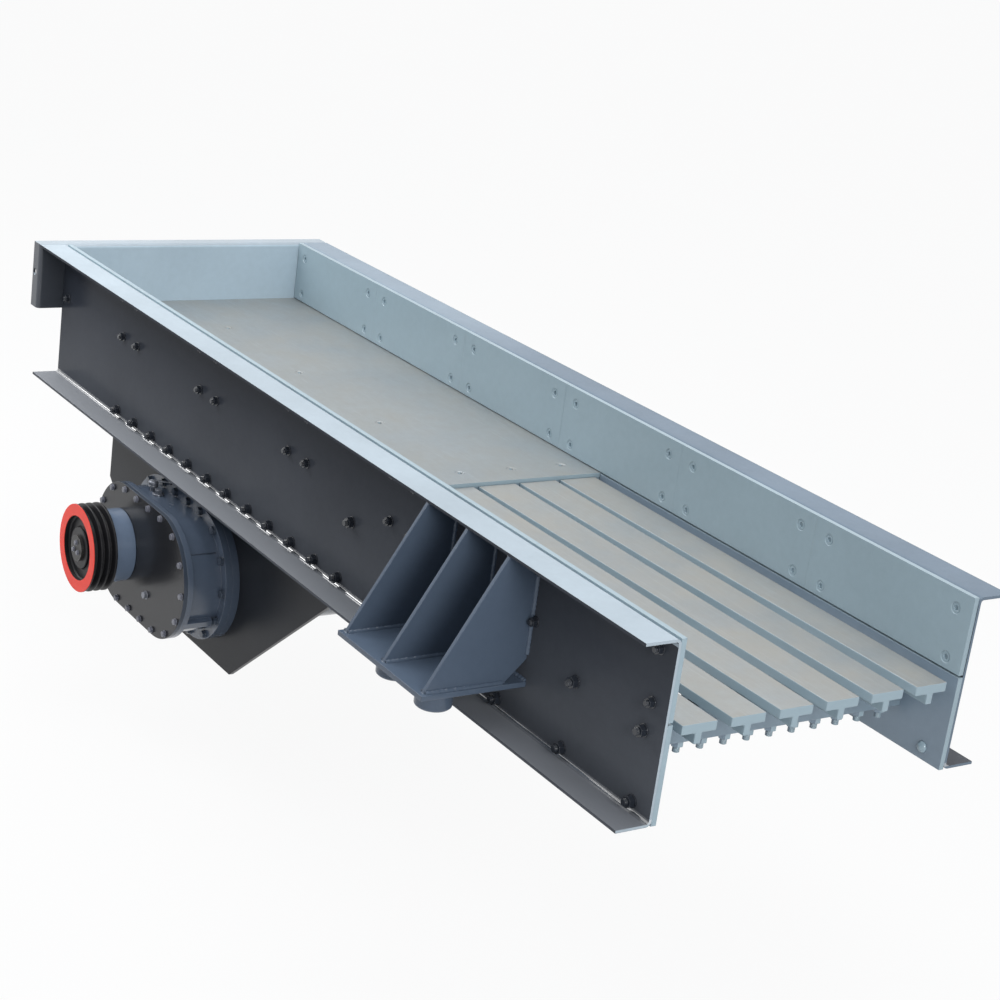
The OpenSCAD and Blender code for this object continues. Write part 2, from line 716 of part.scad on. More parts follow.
// Shaft with its two journals, its eccentric weight and the seat of its gear
module eccentric_shaft(x, nose) translate([x, 0, axis_z]) {
    rod(-bearing_y - 2, bearing_y, journal_r);
    rod(air - bearing_in, bearing_in - air, journal_r + 8);
    translate([-throw * cos(throw_angle), 0, -throw * sin(throw_angle)])
        rod(-weight_len / 2, weight_len / 2, weight_r);
    rod(gear_y - gear_w - 6, -bearing_y - 2, gear_bore_r);
    if (nose) {
        rod(sheave_y, gear_y - gear_w - 6, seal_shaft_r);
        rod(hub_front_y, sheave_y, nose_r);
    }
}

module drive_shaft() place() color(bright_steel) difference() {
    eccentric_shaft(drive_x, true);
    keyway(drive_x, gear_bore_r, gear_y - gear_w, gear_y);
    keyway(drive_x, nose_r, hub_front_y + 4, sheave_y - 4);
    for (p = end_bolts) translate([p[0], hub_front_y + 30, p[1]]) rotate([90, 0, 0])
        cylinder(h = 31, r = 5 + slip);
}

module driven_shaft() place() color(bright_steel) eccentric_shaft(driven_x, false);

end_bolt_r = 20;
end_bolts = [for (a = [90, 210, 330]) [drive_x + end_bolt_r * cos(a), axis_z + end_bolt_r * sin(a)]];

// Rim outline with its V grooves, from the back face to the front face
rim_line = [for (g = [0 : grooves - 1]) let (c = groove_edge + g * groove_pitch, h = groove_w / 2)
    each [[sheave_r, c - h], [sheave_r - groove_d, c - h + 6.5], [sheave_r - groove_d, c + h - 6.5],
        [sheave_r, c + h]]];

module sheave() place() color("#18181a") difference() {
    translate([drive_x, 0, axis_z]) turned(sheave_y) polygon(concat(
        [[nose_r + run, 0], [hub_r, 0], [hub_r, sheave_w - 34], [rim_in_r, sheave_w - 34],
            [rim_in_r + 3, 0], [sheave_r - 2, 0], [sheave_r, 2]],
        rim_line,
        [[sheave_r, sheave_w - 2], [sheave_r - 2, sheave_w], [rim_in_r, sheave_w],
            [rim_in_r, sheave_w - 20], [hub_r, sheave_w - 20], [hub_r, sheave_w - 8],
            [nose_r + run, sheave_w - 8]]));
    keyway(drive_x, nose_r, hub_front_y - 1, sheave_y + 1);
}

module shaft_end_plate() place() color("#3a3a3d") difference() {
    translate([drive_x, 0, axis_z]) rod(hub_front_y - end_plate_t, hub_front_y, end_plate_r);
    for (p = end_bolts) translate([p[0], 0, p[1]])
        rod(hub_front_y - end_plate_t - 1, hub_front_y + 1, 5 + slip);
}

module end_plate_bolts() place() color("#8c8c90") for (p = end_bolts) translate([p[0], 0, p[1]]) {
    rod(hub_front_y - end_plate_t, hub_front_y + 24, 5);
    translate([0, hub_front_y - end_plate_t, 0]) rotate([90, 0, 0]) cylinder(h = 7, r = 9.8, $fn = 6);
}

module drive_keys() place() color(bright_steel) {
    keyway(drive_x, gear_bore_r, gear_y - gear_w, gear_y);
    keyway(drive_x, nose_r, hub_front_y + 4, sheave_y - 4);
}

// ---- Fasteners ----

module liner_bolts() place() color(dark_bolt) for (s = [-1, 1]) on_side(s)
    for (x = liner_bolt_x, z = liner_rows) translate([x, in_y, z]) countersunk_bolt(web_out - in_y);

// Cup-headed bolts, their heads inside the trough and their nuts outside
module frame_bolts() place() color(dark_bolt) for (s = [-1, 1]) on_side(s)
    for (p = all_frame_bolts) translate([p[0], 0, p[1]]) {
        translate([0, in_y, 0]) rotate([90, 0, 0]) cylinder(h = 11, r1 = 18, r2 = 11);
        rod(in_y - 1, web_out + washer_t + 26, m20[0]);
        rod(web_out, web_out + washer_t, m20[1] + 1);
        translate([0, web_out + washer_t + 16, 0]) rotate([90, 0, 0])
            cylinder(h = 16, r = m20[1], $fn = 6);
    }

module cover_bolts() place() color(dark_bolt) for (p = two_shaft_bolts(cover_bolt_r))
    translate([p[0], 0, p[1]]) {
        rod(cover_y - 2, case_y + front_flange_t - 4, m12[0]);
        rod(cover_y - 2, cover_y, m12[1] + 1);
        translate([0, cover_y - 2, 0]) rotate([90, 0, 0]) cylinder(h = 8, r = m12[1], $fn = 6);
    }

module carrier_bolts() place() color(dark_bolt) for (p = two_shaft_bolts(ring_bolt_r))
    translate([p[0], 0, p[1]]) {
        hex_bolt(m16, carrier_y - flange_t, tube_flange_t - in_y, 10);
        mirror([0, 1, 0]) hex_bolt(m16, carrier_y - cover_t, tube_flange_t - in_y, 10);
    }

left_side_plate();
right_side_plate();
rear_wall();
left_liner_1();
left_liner_2();
left_liner_3();
left_liner_4();
left_liner_5();
left_liner_6();
right_liner_1();
right_liner_2();
right_liner_3();
right_liner_4();
right_liner_5();
right_liner_6();
left_lower_plate();
right_lower_plate();
deck_pan();
deck_wear_plate();
grizzly_bar_1();
grizzly_bar_2();
grizzly_bar_3();
grizzly_bar_4();
grizzly_bar_5();
grizzly_bar_6();
front_cross_beam();
middle_cross_beam();
rear_cross_beam();
rear_support_beam();
left_spring_bracket();
right_spring_bracket();
left_seat_plate();
right_seat_plate();
exciter_tube();
left_bearing_carrier();
right_bearing_carrier();
drive_bearing_left();
drive_bearing_right();
driven_bearing_left();
driven_bearing_right();
gear_case();
gear_case_cover();
right_end_cover();
seal_housing();
shaft_seal();
drive_shaft();
driven_shaft();
drive_gear();
driven_gear();
sheave();
shaft_end_plate();
end_plate_bolts();
drive_keys();
oil_plugs();
liner_bolts();
deck_bolts();
frame_bolts();
grizzly_studs();
cover_bolts();
carrier_bolts();
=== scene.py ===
"""Looks of a linear vibratory feeder: painted plate, worn steel, castings and fasteners."""
import json
import math

import bmesh
import bpy
from mathutils import Matrix, Vector


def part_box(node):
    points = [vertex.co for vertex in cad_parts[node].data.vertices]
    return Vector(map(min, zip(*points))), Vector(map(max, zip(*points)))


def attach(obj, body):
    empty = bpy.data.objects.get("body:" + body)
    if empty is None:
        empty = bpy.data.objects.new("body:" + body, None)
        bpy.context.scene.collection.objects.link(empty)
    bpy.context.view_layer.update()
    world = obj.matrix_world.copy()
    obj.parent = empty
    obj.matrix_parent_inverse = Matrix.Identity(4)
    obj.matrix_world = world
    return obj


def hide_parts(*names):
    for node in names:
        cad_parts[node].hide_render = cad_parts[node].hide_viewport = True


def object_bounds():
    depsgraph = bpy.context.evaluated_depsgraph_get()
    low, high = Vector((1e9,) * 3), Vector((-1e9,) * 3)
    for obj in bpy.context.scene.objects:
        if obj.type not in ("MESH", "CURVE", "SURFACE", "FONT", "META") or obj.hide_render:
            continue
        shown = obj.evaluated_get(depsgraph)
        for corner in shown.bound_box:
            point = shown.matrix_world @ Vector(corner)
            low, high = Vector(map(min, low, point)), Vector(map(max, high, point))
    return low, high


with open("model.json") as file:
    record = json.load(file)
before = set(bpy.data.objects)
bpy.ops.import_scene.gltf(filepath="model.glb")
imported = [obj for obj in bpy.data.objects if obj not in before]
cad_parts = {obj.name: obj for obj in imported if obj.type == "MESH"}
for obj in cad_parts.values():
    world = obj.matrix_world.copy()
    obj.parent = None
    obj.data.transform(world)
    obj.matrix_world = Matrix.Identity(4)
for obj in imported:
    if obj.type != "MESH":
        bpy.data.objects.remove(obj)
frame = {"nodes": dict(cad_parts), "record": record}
cad_box = [list(corner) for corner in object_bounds()]
nodes = frame["nodes"]

# ---- Places read from the solids, in metres ----

WEB = 0.008  # thickness of a side plate
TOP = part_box("left_side_plate")[1].z
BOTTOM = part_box("left_side_plate")[0].z
FLANGE_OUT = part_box("right_side_plate")[1].y
TROUGH_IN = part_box("right_liner_1")[0].y
SIDE_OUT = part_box("right_liner_1")[1].y + WEB
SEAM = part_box("right_lower_plate")[1].z
SHEAVE_LOW, SHEAVE_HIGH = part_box("sheave")
SHEAVE_R = (SHEAVE_HIGH.z - SHEAVE_LOW.z) / 2

# ---- Where one coat of paint meets another, in metres ----

TOP_COAT = 0.0225  # how far below the top the pale coat reaches
DARK_RIM = 0.003  # width of the top flange's outer edge, which stays dark
POOL_LOW, POOL_HIGH = 0.0075, 0.019  # paint run together in the bottom fold, above the bottom
POOL_OUT = 0.012  # and its reach outwards from the web
# Painted light: between these heights the dark coat is coloured lighter towards the bottom.
FOOT_HIGH, FOOT_LOW = 0.36, 0.05  # heights above the bottom between which the dark coat pales
HEAD_DEPTH = 0.0165  # how far into a liner its bolts carry the liner's coat
RED_DEPTH = 0.004  # how far back from the sheave's face the red reaches

# ---- Paints ----

PALE = (0.29, 0.378, 0.425)
PALE_TOP = (0.37, 0.43, 0.475)
PALE_HEAD = (0.28, 0.37, 0.42)
PALE_WALL_TOP = (0.32, 0.375, 0.42)
# Painted shade: the far top flange is coloured darker than the near one, and darker again towards
# the discharge.
PALE_FAR_PAINTED_SHADE = (0.24, 0.295, 0.35)
PALE_FAR_PAINTED_SHADE_FRONT = (0.165, 0.21, 0.26)
# Painted shade: the coat on the lower plates below the liners.
PALE_PAINTED_SHADE_LOW = (0.205, 0.265, 0.325)
# Painted light: the paler coat on a cover's rim and boss.
RIM_PAINTED_LIGHT = (0.045, 0.058, 0.08)
DARK = (0.025, 0.029, 0.038)
# Painted light: the dark coat's lighter tone low on the web and towards the discharge.
DARK_FOOT_PAINTED_LIGHT = (0.085, 0.092, 0.105)
DARK_WALL = (0.05, 0.057, 0.07)
RED = (0.84, 0.04, 0.02)
BRIGHT_STEEL = (0.55, 0.57, 0.58)
BRIGHT_GROUND = (0.7, 0.7, 0.7)
FLOOR_TONES = (0.58, 0.59, 0.6), (0.62, 0.62, 0.62)
SKY_LOW, SKY_HIGH = (0.3, 0.31, 0.33), (0.93, 0.97, 1.03)
WHITE = (1, 1, 1)


# ---- Nodes ----

def rgb(red, green, blue):
    return (red, green, blue, 1.0)


def shader_group(name, inputs, outputs):
    """An empty node group with named inputs (kind, name, value) and outputs (kind, name)."""
    tree = bpy.data.node_groups.new(name, "ShaderNodeTree")
    for kind, label, value in inputs:
        socket = tree.interface.new_socket(label, in_out="INPUT", socket_type="NodeSocket" + kind)
        socket.default_value = value
    for kind, label in outputs:
        tree.interface.new_socket(label, in_out="OUTPUT", socket_type="NodeSocket" + kind)
    return tree, tree.nodes.new("NodeGroupInput"), tree.nodes.new("NodeGroupOutput")


def place(tree, kind, links=None, **values):
    """A node in a tree, with properties by name and inputs by socket number or name."""
    node = tree.nodes.new("ShaderNode" + kind)
    for key, value in values.items():
        setattr(node, key, value)
    for socket, source in (links or {}).items():
        if isinstance(source, bpy.types.NodeSocket):
            tree.links.new(source, node.inputs[socket])
        else:
            node.inputs[socket].default_value = source
    return node


def maths(tree, operation, first, second=0.0, clamp=False):
    node = place(tree, "Math", {0: first, 1: second}, operation=operation, use_clamp=clamp)
    return node.outputs[0]


def times(tree, first, *others):
    """The product of several values, or the place where every one of several masks is."""
    for other in others:
        first = maths(tree, "MULTIPLY", first, other)
    return first


def above(tree, value, limit):
    return maths(tree, "GREATER_THAN", value, limit)


def below(tree, value, limit):
    return maths(tree, "LESS_THAN", value, limit)


def size_of(tree, value):
    return maths(tree, "ABSOLUTE", value)


def rest_of(tree, mask):
    return maths(tree, "SUBTRACT", 1.0, mask)


def object_place(tree):
    return place(tree, "TexCoord").outputs["Object"]


def spot(tree):
    """The x, y and z of a point on the surface, in metres."""
    return place(tree, "SeparateXYZ", {0: object_place(tree)}).outputs[:]


def facing(tree):
    """How far the surface faces along x, y and z, each from -1 to 1."""
    normal = place(tree, "TexCoord").outputs["Normal"]
    return place(tree, "SeparateXYZ", {0: normal}).outputs[:]


def noise(tree, vector, scale, detail=4.0, roughness=0.55):
    node = place(tree, "TexNoise",
                 {"Vector": vector, "Scale": scale, "Detail": detail, "Roughness": roughness})
    return node.outputs["Fac"]


def spread(tree, value, low, high, to_low=0.0, to_high=1.0):
    """Maps a value between two limits to two others, and keeps it between them."""
    node = place(tree, "MapRange", {0: value, 1: low, 2: high, 3: to_low, 4: to_high})
    return node.outputs[0]


def blend_colour(tree, share, first, second):
    node = place(tree, "Mix", {0: share, 6: first, 7: second}, data_type="RGBA")
    return node.outputs[2]


def seen_directly(tree):
    """Where a ray comes from the camera or from a mirror or glass, as on a background."""
    path = place(tree, "LightPath")
    mirrored = maths(tree, "MAXIMUM", path.outputs["Is Glossy Ray"],
                     path.outputs["Is Transmission Ray"])
    return maths(tree, "MAXIMUM", path.outputs["Is Camera Ray"], mirrored)


# ---- Shader groups ----

def make_edge_group():
    """Bare bright edges: a mask where the surface turns, and the normal of the rounded edge."""
    tree, given, out = shader_group(
        "worn_edge", [("Float", "Width", 0.002), ("Float", "Amount", 1.0)],
        [("Float", "Mask"), ("Vector", "Normal")])
    bevel = place(tree, "Bevel", {"Radius": given.outputs["Width"]}, samples=6)
    normal = place(tree, "NewGeometry").outputs["Normal"]
    turn = place(tree, "VectorMath", {0: bevel.outputs[0], 1: normal}, operation="DOT_PRODUCT")
    bend = spread(tree, turn.outputs["Value"], 0.985, 0.86)
    patches = noise(tree, object_place(tree), scale=9.0, detail=6.0, roughness=0.7)
    worn = times(tree, bend, spread(tree, patches, 0.42, 0.62))
    mask = maths(tree, "MULTIPLY", worn, given.outputs["Amount"], True)
    tree.links.new(mask, out.inputs["Mask"])
    tree.links.new(bevel.outputs[0], out.inputs["Normal"])
    return tree


def make_tone_group():
    """Uneven tone of a coat of paint or of rolled steel: broad clouds and small mottling."""
    tree, given, out = shader_group(
        "uneven_tone",
        [("Color", "Color", (0.5, 0.5, 0.5, 1)), ("Float", "Clouds", 0.1),
         ("Float", "Mottle", 0.05)],
        [("Color", "Color")])
    where = object_place(tree)
    broad = noise(tree, where, scale=1.7, detail=3.0)
    small = noise(tree, where, scale=38.0, detail=5.0, roughness=0.65)
    clouds = times(tree, spread(tree, broad, 0.15, 0.85, -1.5, 1.5), given.outputs["Clouds"])
    mottle = times(tree, spread(tree, small, 0.2, 0.8, -1.3, 1.3), given.outputs["Mottle"])
    shift = maths(tree, "ADD", clouds, mottle)
    value = maths(tree, "ADD", shift, 1.0)
    toned = place(tree, "HueSaturation", {"Value": value, "Color": given.outputs["Color"]})
    tree.links.new(toned.outputs[0], out.inputs["Color"])
    return tree


def make_dust_group():
    """Dust that settles on what faces up and in blotches on the rest."""
    tree, given, out = shader_group(
        "settled_dust",
        [("Float", "Amount", 0.3), ("Float", "Scale", 6.0), ("Float", "Even", 0.0)],
        [("Float", "Mask")])
    where = object_place(tree)
    up = facing(tree)[2]
    level = spread(tree, up, 0.2, 1.0, 0.12, 1.0)
    broad = noise(tree, where, given.outputs["Scale"], detail=8.0, roughness=0.7)
    fine = noise(tree, where, scale=140.0, detail=3.0)
    settled = times(tree, spread(tree, broad, 0.4, 0.7), spread(tree, fine, 0.35, 0.7, 0.4, 1.0),
                    level)
    blotchy = maths(tree, "MULTIPLY", settled, given.outputs["Amount"], True)
    film = times(tree, spread(tree, up, 0.75, 0.98), given.outputs["Even"])
    tree.links.new(maths(tree, "MAXIMUM", blotchy, film), out.inputs["Mask"])
    return tree


def make_scratch_group():
    """Long fine scratches, drawn out along the axis whose stretch is small."""
    tree, given, out = shader_group(
        "drawn_scratches", [("Vector", "Stretch", (1.0, 60.0, 60.0)), ("Float", "Amount", 0.5)],
        [("Float", "Mask"), ("Float", "Height")])
    drawn = place(tree, "VectorMath", {0: object_place(tree), 1: given.outputs["Stretch"]},
                  operation="MULTIPLY").outputs[0]
    fine = noise(tree, drawn, scale=6.0, detail=6.0, roughness=0.75)
    coarse = noise(tree, drawn, scale=1.6, detail=4.0, roughness=0.6)
    lines = times(tree, spread(tree, fine, 0.52, 0.68), spread(tree, coarse, 0.35, 0.65))
    mask = maths(tree, "MULTIPLY", lines, given.outputs["Amount"], True)
    tree.links.new(mask, out.inputs["Mask"])
    tree.links.new(fine, out.inputs["Height"])
    return tree


def make_skin_group():
    """Height of a sprayed or cast surface: orange peel over a slow ripple."""
    tree, given, out = shader_group(
        "sprayed_skin", [("Float", "Grain", 220.0), ("Float", "Ripple", 0.4)],
        [("Float", "Height")])
    where = object_place(tree)
    peel = noise(tree, where, given.outputs["Grain"], detail=2.0, roughness=0.5)
    ripple = times(tree, noise(tree, where, scale=7.0, detail=2.0), given.outputs["Ripple"])
    tree.links.new(maths(tree, "ADD", peel, ripple), out.inputs["Height"])
    return tree


GROUPS = {"edge": make_edge_group(), "tone": make_tone_group(), "dust": make_dust_group(),
          "scratch": make_scratch_group(), "skin": make_skin_group()}


def use(tree, group, **values):
    """A shared effect placed in a material, with its own values."""
    node = tree.nodes.new("ShaderNodeGroup")
    node.node_tree = GROUPS[group]
    for key, value in values.items():
        socket = node.inputs[key.capitalize()]
        if isinstance(value, bpy.types.NodeSocket):
            tree.links.new(value, socket)
        else:
            socket.default_value = value
    return node.outputs


# ---- Coats of paint, and painted light and shade, that change over a piece ----

def pale_top_painted_light_and_shade(tree):
    """Pale coat over the top flange and on the plate's end. The far flange's coat is darker, and
    darker again towards the discharge, as painted shade; the dark coat below is lighter towards the
    bottom and the discharge, as painted light.
    """
    along, aside, height = spot(tree)
    to_front, to_side, to_top = facing(tree)
    high = above(tree, height, TOP - TOP_COAT)
    not_under = above(tree, to_top, -0.3)
    end = above(tree, to_front, 0.7)
    at_rim = above(tree, size_of(tree, aside), FLANGE_OUT - DARK_RIM)
    rim = times(tree, at_rim, above(tree, size_of(tree, to_side), 0.6))
    mask = maths(tree, "MAXIMUM", times(tree, high, not_under, rest_of(tree, rim)), end)
    # Painted shade: the far top flange takes a darker pale coat, darker again towards the
    # discharge.
    far = above(tree, aside, 0.0)
    far_painted_shade = blend_colour(tree, spread(tree, along, -1.9, -1.4),
                          rgb(*PALE_FAR_PAINTED_SHADE), rgb(*PALE_FAR_PAINTED_SHADE_FRONT))
    pale = blend_colour(tree, far, rgb(*PALE_TOP), far_painted_shade)
    # Painted light: the dark coat is coloured lighter towards the bottom and towards the discharge,
    # and darker at the rear.
    low = spread(tree, height, BOTTOM + FOOT_HIGH, BOTTOM + FOOT_LOW, 0.0, 0.7)
    foot_painted_light = maths(tree, "ADD", low, spread(tree, along, -3.0, 0.3, -0.1, 0.4), True)
    return mask, pale, blend_colour(tree, foot_painted_light, rgb(*DARK), rgb(*DARK_FOOT_PAINTED_LIGHT))


def film_with_painted_shade(tree):
    """The dust film on the side plates' flanges is thinned on the far side and towards the
    discharge, as painted shade there.
    """
    along, aside, _ = spot(tree)
    return spread(tree, aside, 0.0, 0.01, 1.0, 0.25), spread(tree, along, -0.6, 0.7, 1.0, 0.55)


def pooled_paint(tree):
    """Thick glossy paint that has run together in the bottom fold, along the outside of the web."""
    _, aside, height = spot(tree)
    return times(tree, below(tree, height, BOTTOM + POOL_HIGH),
                 above(tree, height, BOTTOM + POOL_LOW),
                 below(tree, size_of(tree, aside), SIDE_OUT + POOL_OUT))


def dark_outside(tree):
    """Outside the trough the rear wall is painted dark, and its top is a little paler."""
    outside = above(tree, size_of(tree, spot(tree)[1]), SIDE_OUT)
    top = above(tree, facing(tree)[2], 0.5)
    coat = blend_colour(tree, top, rgb(*DARK_WALL), rgb(*PALE_WALL_TOP))
    return maths(tree, "MAXIMUM", outside, top), coat


def painted_shade_below(tree):
    """Below the liners the plates beside the bars are coloured darker on their broad faces, as
    painted shade under the liners.
    """
    broad = above(tree, size_of(tree, facing(tree)[1]), 0.7)
    return times(tree, broad, below(tree, spot(tree)[2], SEAM)), PALE_PAINTED_SHADE_LOW


def rim_painted_light(tree):
    """Round a cover's rim and boss the coat is coloured paler than on its face, as painted light on
    its sides.
    """
    return below(tree, size_of(tree, facing(tree)[1]), 0.7), RIM_PAINTED_LIGHT


def pale_heads(tree):
    """Bolt heads inside the trough carry the liners' coat; their nuts outside stay dark."""
    return below(tree, size_of(tree, spot(tree)[1]), TROUGH_IN + HEAD_DEPTH), PALE_HEAD


def red_ring(tree):
    """The ring round the sheave's face is painted red."""
    front = below(tree, spot(tree)[1], SHEAVE_LOW.y + RED_DEPTH)
    return times(tree, front, below(tree, facing(tree)[1], -0.3)), RED


def deck_end(tree):
    """The deck plate keeps its paint on its discharge end."""
    return above(tree, facing(tree)[0], 0.7)


def bar_sides(tree):
    """A bar keeps its paint on all but its flat top."""
    return rest_of(tree, above(tree, facing(tree)[2], 0.93))


# ---- Materials ----

def blank(name, **sockets):
    """A material with only its Principled shader, whose plain values are set on the shader."""
    material = bpy.data.materials.new(name)
    material.use_nodes = True
    tree = material.node_tree
    shader = tree.nodes["Principled BSDF"]
    for key, value in sockets.items():
        label = key.replace("_", " ").title().replace("Ior", "IOR")
        shader.inputs[label].default_value = value
    return material, tree, shader


def bumped(tree, shader, height, distance, strength, normal=None):
    links = {"Height": height, "Distance": distance, "Strength": strength}
    if normal is not None:
        links["Normal"] = normal
    tree.links.new(place(tree, "Bump", links).outputs[0], shader.inputs["Normal"])


def painted(name, colour, rough=0.38, clouds=0.08, edge=0.5, dust=0.25, bare=(0.42, 0.43, 0.44),
            dirt=(0.36, 0.35, 0.33), coat=0.0, width=0.0022, gloss=0.5, film=0.0, second=None,
            pooled=False):
    """Sprayed paint over plate, bare along its edges, width metres wide, and dusty.

    film is even dust on what faces up. second(tree) may give a second colour, for a second coat
    and for painted light and shade: its mask, its colour and, where that changes too, the first
    coat's.
    pooled adds thick paint in the bottom fold, and thins the film as painted shade on the far side
    and towards the discharge.
    """
    material, tree, shader = blank(name, coat_weight=coat, coat_roughness=0.12,
                                   specular_ior_level=gloss)
    base, even = rgb(*colour), film
    if second:
        mask, other, *first = second(tree)
        other = other if isinstance(other, bpy.types.NodeSocket) else rgb(*other)
        base = blend_colour(tree, mask, *(first or [base]), other)
        even = spread(tree, mask, 0.0, 1.0, film, 0.0)
    if pooled:
        # Painted shade: the dust film is thinned on the far side and towards the discharge.
        even = times(tree, even, *film_with_painted_shade(tree))
        tree.links.new(pooled_paint(tree), shader.inputs["Coat Weight"])
        shader.inputs["Coat IOR"].default_value = 3.0
    toned = use(tree, "tone", color=base, clouds=clouds, mottle=0.035)["Color"]
    dusty = use(tree, "dust", amount=dust, scale=5.0, even=even)["Mask"]
    edges = use(tree, "edge", width=width, amount=edge)
    soiled = blend_colour(tree, dusty, toned, rgb(*dirt))
    worn = blend_colour(tree, edges["Mask"], soiled, rgb(*bare))
    tree.links.new(worn, shader.inputs["Base Color"])
    clean = noise(tree, object_place(tree), scale=4.0, detail=5.0)
    patchy = spread(tree, clean, 0.1, 0.9, rough - 0.07, rough + 0.09)
    dulled = maths(tree, "ADD", patchy, times(tree, dusty, 0.35), True)
    tree.links.new(dulled, shader.inputs["Roughness"])
    skin = use(tree, "skin", grain=240.0, ripple=0.5)["Height"]
    bumped(tree, shader, skin, distance=0.0006, strength=0.25, normal=edges["Normal"])
    return material


def worn_steel(name, colour, stain, stretch, still_painted):
    """Steel polished and scratched by sliding stone, with pale paint left on its other faces."""
    rough, metal = 0.4, 0.45
    material, tree, shader = blank(name)
    scratches = use(tree, "scratch", stretch=stretch, amount=0.55)
    stains = noise(tree, object_place(tree), scale=5.0, detail=8.0, roughness=0.7)
    blotches = spread(tree, stains, 0.35, 0.7)
    toned = use(tree, "tone", color=rgb(*colour), clouds=0.07, mottle=0.05)["Color"]
    stained = blend_colour(tree, times(tree, blotches, 0.75), toned, rgb(*stain))
    edges = use(tree, "edge", width=0.003, amount=0.6)
    fresh = rgb(*[min(1, part * 1.35) for part in colour])
    bright = blend_colour(tree, scratches["Mask"], stained, fresh)
    steel = blend_colour(tree, edges["Mask"], bright, rgb(*BRIGHT_STEEL))
    kept = still_painted(tree)
    tree.links.new(blend_colour(tree, kept, steel, rgb(*PALE)), shader.inputs["Base Color"])
    shine = spread(tree, blotches, 0.0, 1.0, metal, metal * 0.4)
    tree.links.new(times(tree, rest_of(tree, kept), shine), shader.inputs["Metallic"])
    smooth = spread(tree, scratches["Mask"], 0.0, 1.0, rough, rough - 0.12)
    dulled = maths(tree, "ADD", smooth, times(tree, blotches, 0.12), True)
    tree.links.new(dulled, shader.inputs["Roughness"])
    bumped(tree, shader, scratches["Height"], distance=0.0005, strength=0.3,
           normal=edges["Normal"])
    return material


def machined(name, colour, rough=0.3, metal=0.9):
    """Turned, ground or plated steel with a fine grain."""
    material, tree, shader = blank(name)
    toned = use(tree, "tone", color=rgb(*colour), clouds=0.06, mottle=0.08)["Color"]
    dusty = use(tree, "dust", amount=0.35, scale=14.0)["Mask"]
    edges = use(tree, "edge", width=0.001, amount=0.6)
    soiled = blend_colour(tree, dusty, toned, rgb(*[part * 0.5 for part in colour]))
    worn = blend_colour(tree, edges["Mask"], soiled, rgb(*BRIGHT_GROUND))
    tree.links.new(worn, shader.inputs["Base Color"])
    tree.links.new(spread(tree, dusty, 0.0, 1.0, metal, metal * 0.5), shader.inputs["Metallic"])
    tree.links.new(spread(tree, dusty, 0.0, 1.0, rough, rough + 0.3), shader.inputs["Roughness"])
    fine = use(tree, "scratch", stretch=(40.0, 40.0, 40.0), amount=0.5)["Height"]
    bumped(tree, shader, fine, distance=0.0003, strength=0.25, normal=edges["Normal"])
    return material


def rubber(name, colour):
    """Dull black rubber with a fine skin and dust."""
    material, tree, shader = blank(name)
    toned = use(tree, "tone", color=rgb(*colour), clouds=0.1, mottle=0.2)["Color"]
    tree.links.new(toned, shader.inputs["Base Color"])
    dusty = use(tree, "dust", amount=0.6, scale=30.0)["Mask"]
    tree.links.new(spread(tree, dusty, 0.0, 1.0, 0.55, 0.8), shader.inputs["Roughness"])
    skin = use(tree, "skin", grain=900.0, ripple=0.2)["Height"]
    bumped(tree, shader, skin, distance=0.0002, strength=0.3)
    return material


PAINTED = {
    "side_paint": dict(colour=DARK, rough=0.2, clouds=0.12, edge=0.25, dust=0.08, gloss=0.03,
                       film=0.78, bare=(0.16, 0.17, 0.19), dirt=(0.33, 0.345, 0.37),
                       second=pale_top_painted_light_and_shade, pooled=True),
    "wall_paint": dict(colour=(0.41, 0.51, 0.58), rough=0.34, edge=0.3, second=dark_outside),
    "liner_paint": dict(colour=PALE, rough=0.33, clouds=0.05, edge=0.35, dust=0.06,
                        second=painted_shade_below),
    "frame_paint": dict(colour=(0.19, 0.25, 0.3), rough=0.4, edge=0.4),
    "bracket_paint": dict(colour=(0.08, 0.108, 0.152), rough=0.22, edge=0.5, dust=0.03,
                          gloss=0.35, bare=(0.34, 0.39, 0.45), dirt=(0.16, 0.19, 0.23)),
    "seat_paint": dict(colour=(0.014, 0.016, 0.02), rough=0.3, edge=0.35, dust=0.05, gloss=0.12,
                       bare=(0.14, 0.15, 0.17), dirt=(0.1, 0.1, 0.105)),
    "case_paint": dict(colour=(0.075, 0.098, 0.138), rough=0.22, edge=0.55, dust=0.04,
                       bare=(0.25, 0.29, 0.35), dirt=(0.12, 0.13, 0.155), coat=0.15),
    "cover_paint": dict(colour=(0.017, 0.018, 0.021), rough=0.22, edge=0.5, dust=0.06, gloss=0.24,
                        bare=(0.22, 0.24, 0.27), dirt=(0.11, 0.11, 0.115), second=rim_painted_light),
    "housing_paint": dict(colour=(0.13, 0.175, 0.25), rough=0.2, edge=0.35, dust=0.08, coat=0.25),
    "sheave_black": dict(colour=(0.012, 0.012, 0.014), rough=0.34, edge=0.25, dust=0.12,
                         clouds=0.05, gloss=0.2, bare=(0.1, 0.1, 0.1), second=red_ring),
    "dark_bolt": dict(colour=(0.02, 0.024, 0.032), rough=0.16, dust=0.08, width=0.0012,
                      bare=(0.2, 0.22, 0.26), dirt=(0.1, 0.1, 0.1), second=pale_heads),
    "bolt_blue": dict(colour=(0.045, 0.06, 0.085), rough=0.2, edge=0.6, dust=0.1, width=0.0012,
                      bare=(0.3, 0.34, 0.4), dirt=(0.12, 0.12, 0.13)),
    "bolt_grey": dict(colour=(0.13, 0.135, 0.165), rough=0.2, edge=0.6, dust=0.1, width=0.0012,
                      bare=(0.45, 0.46, 0.5), dirt=(0.12, 0.12, 0.12)),
}
MATERIALS = {name: painted(name, **values) for name, values in PAINTED.items()}
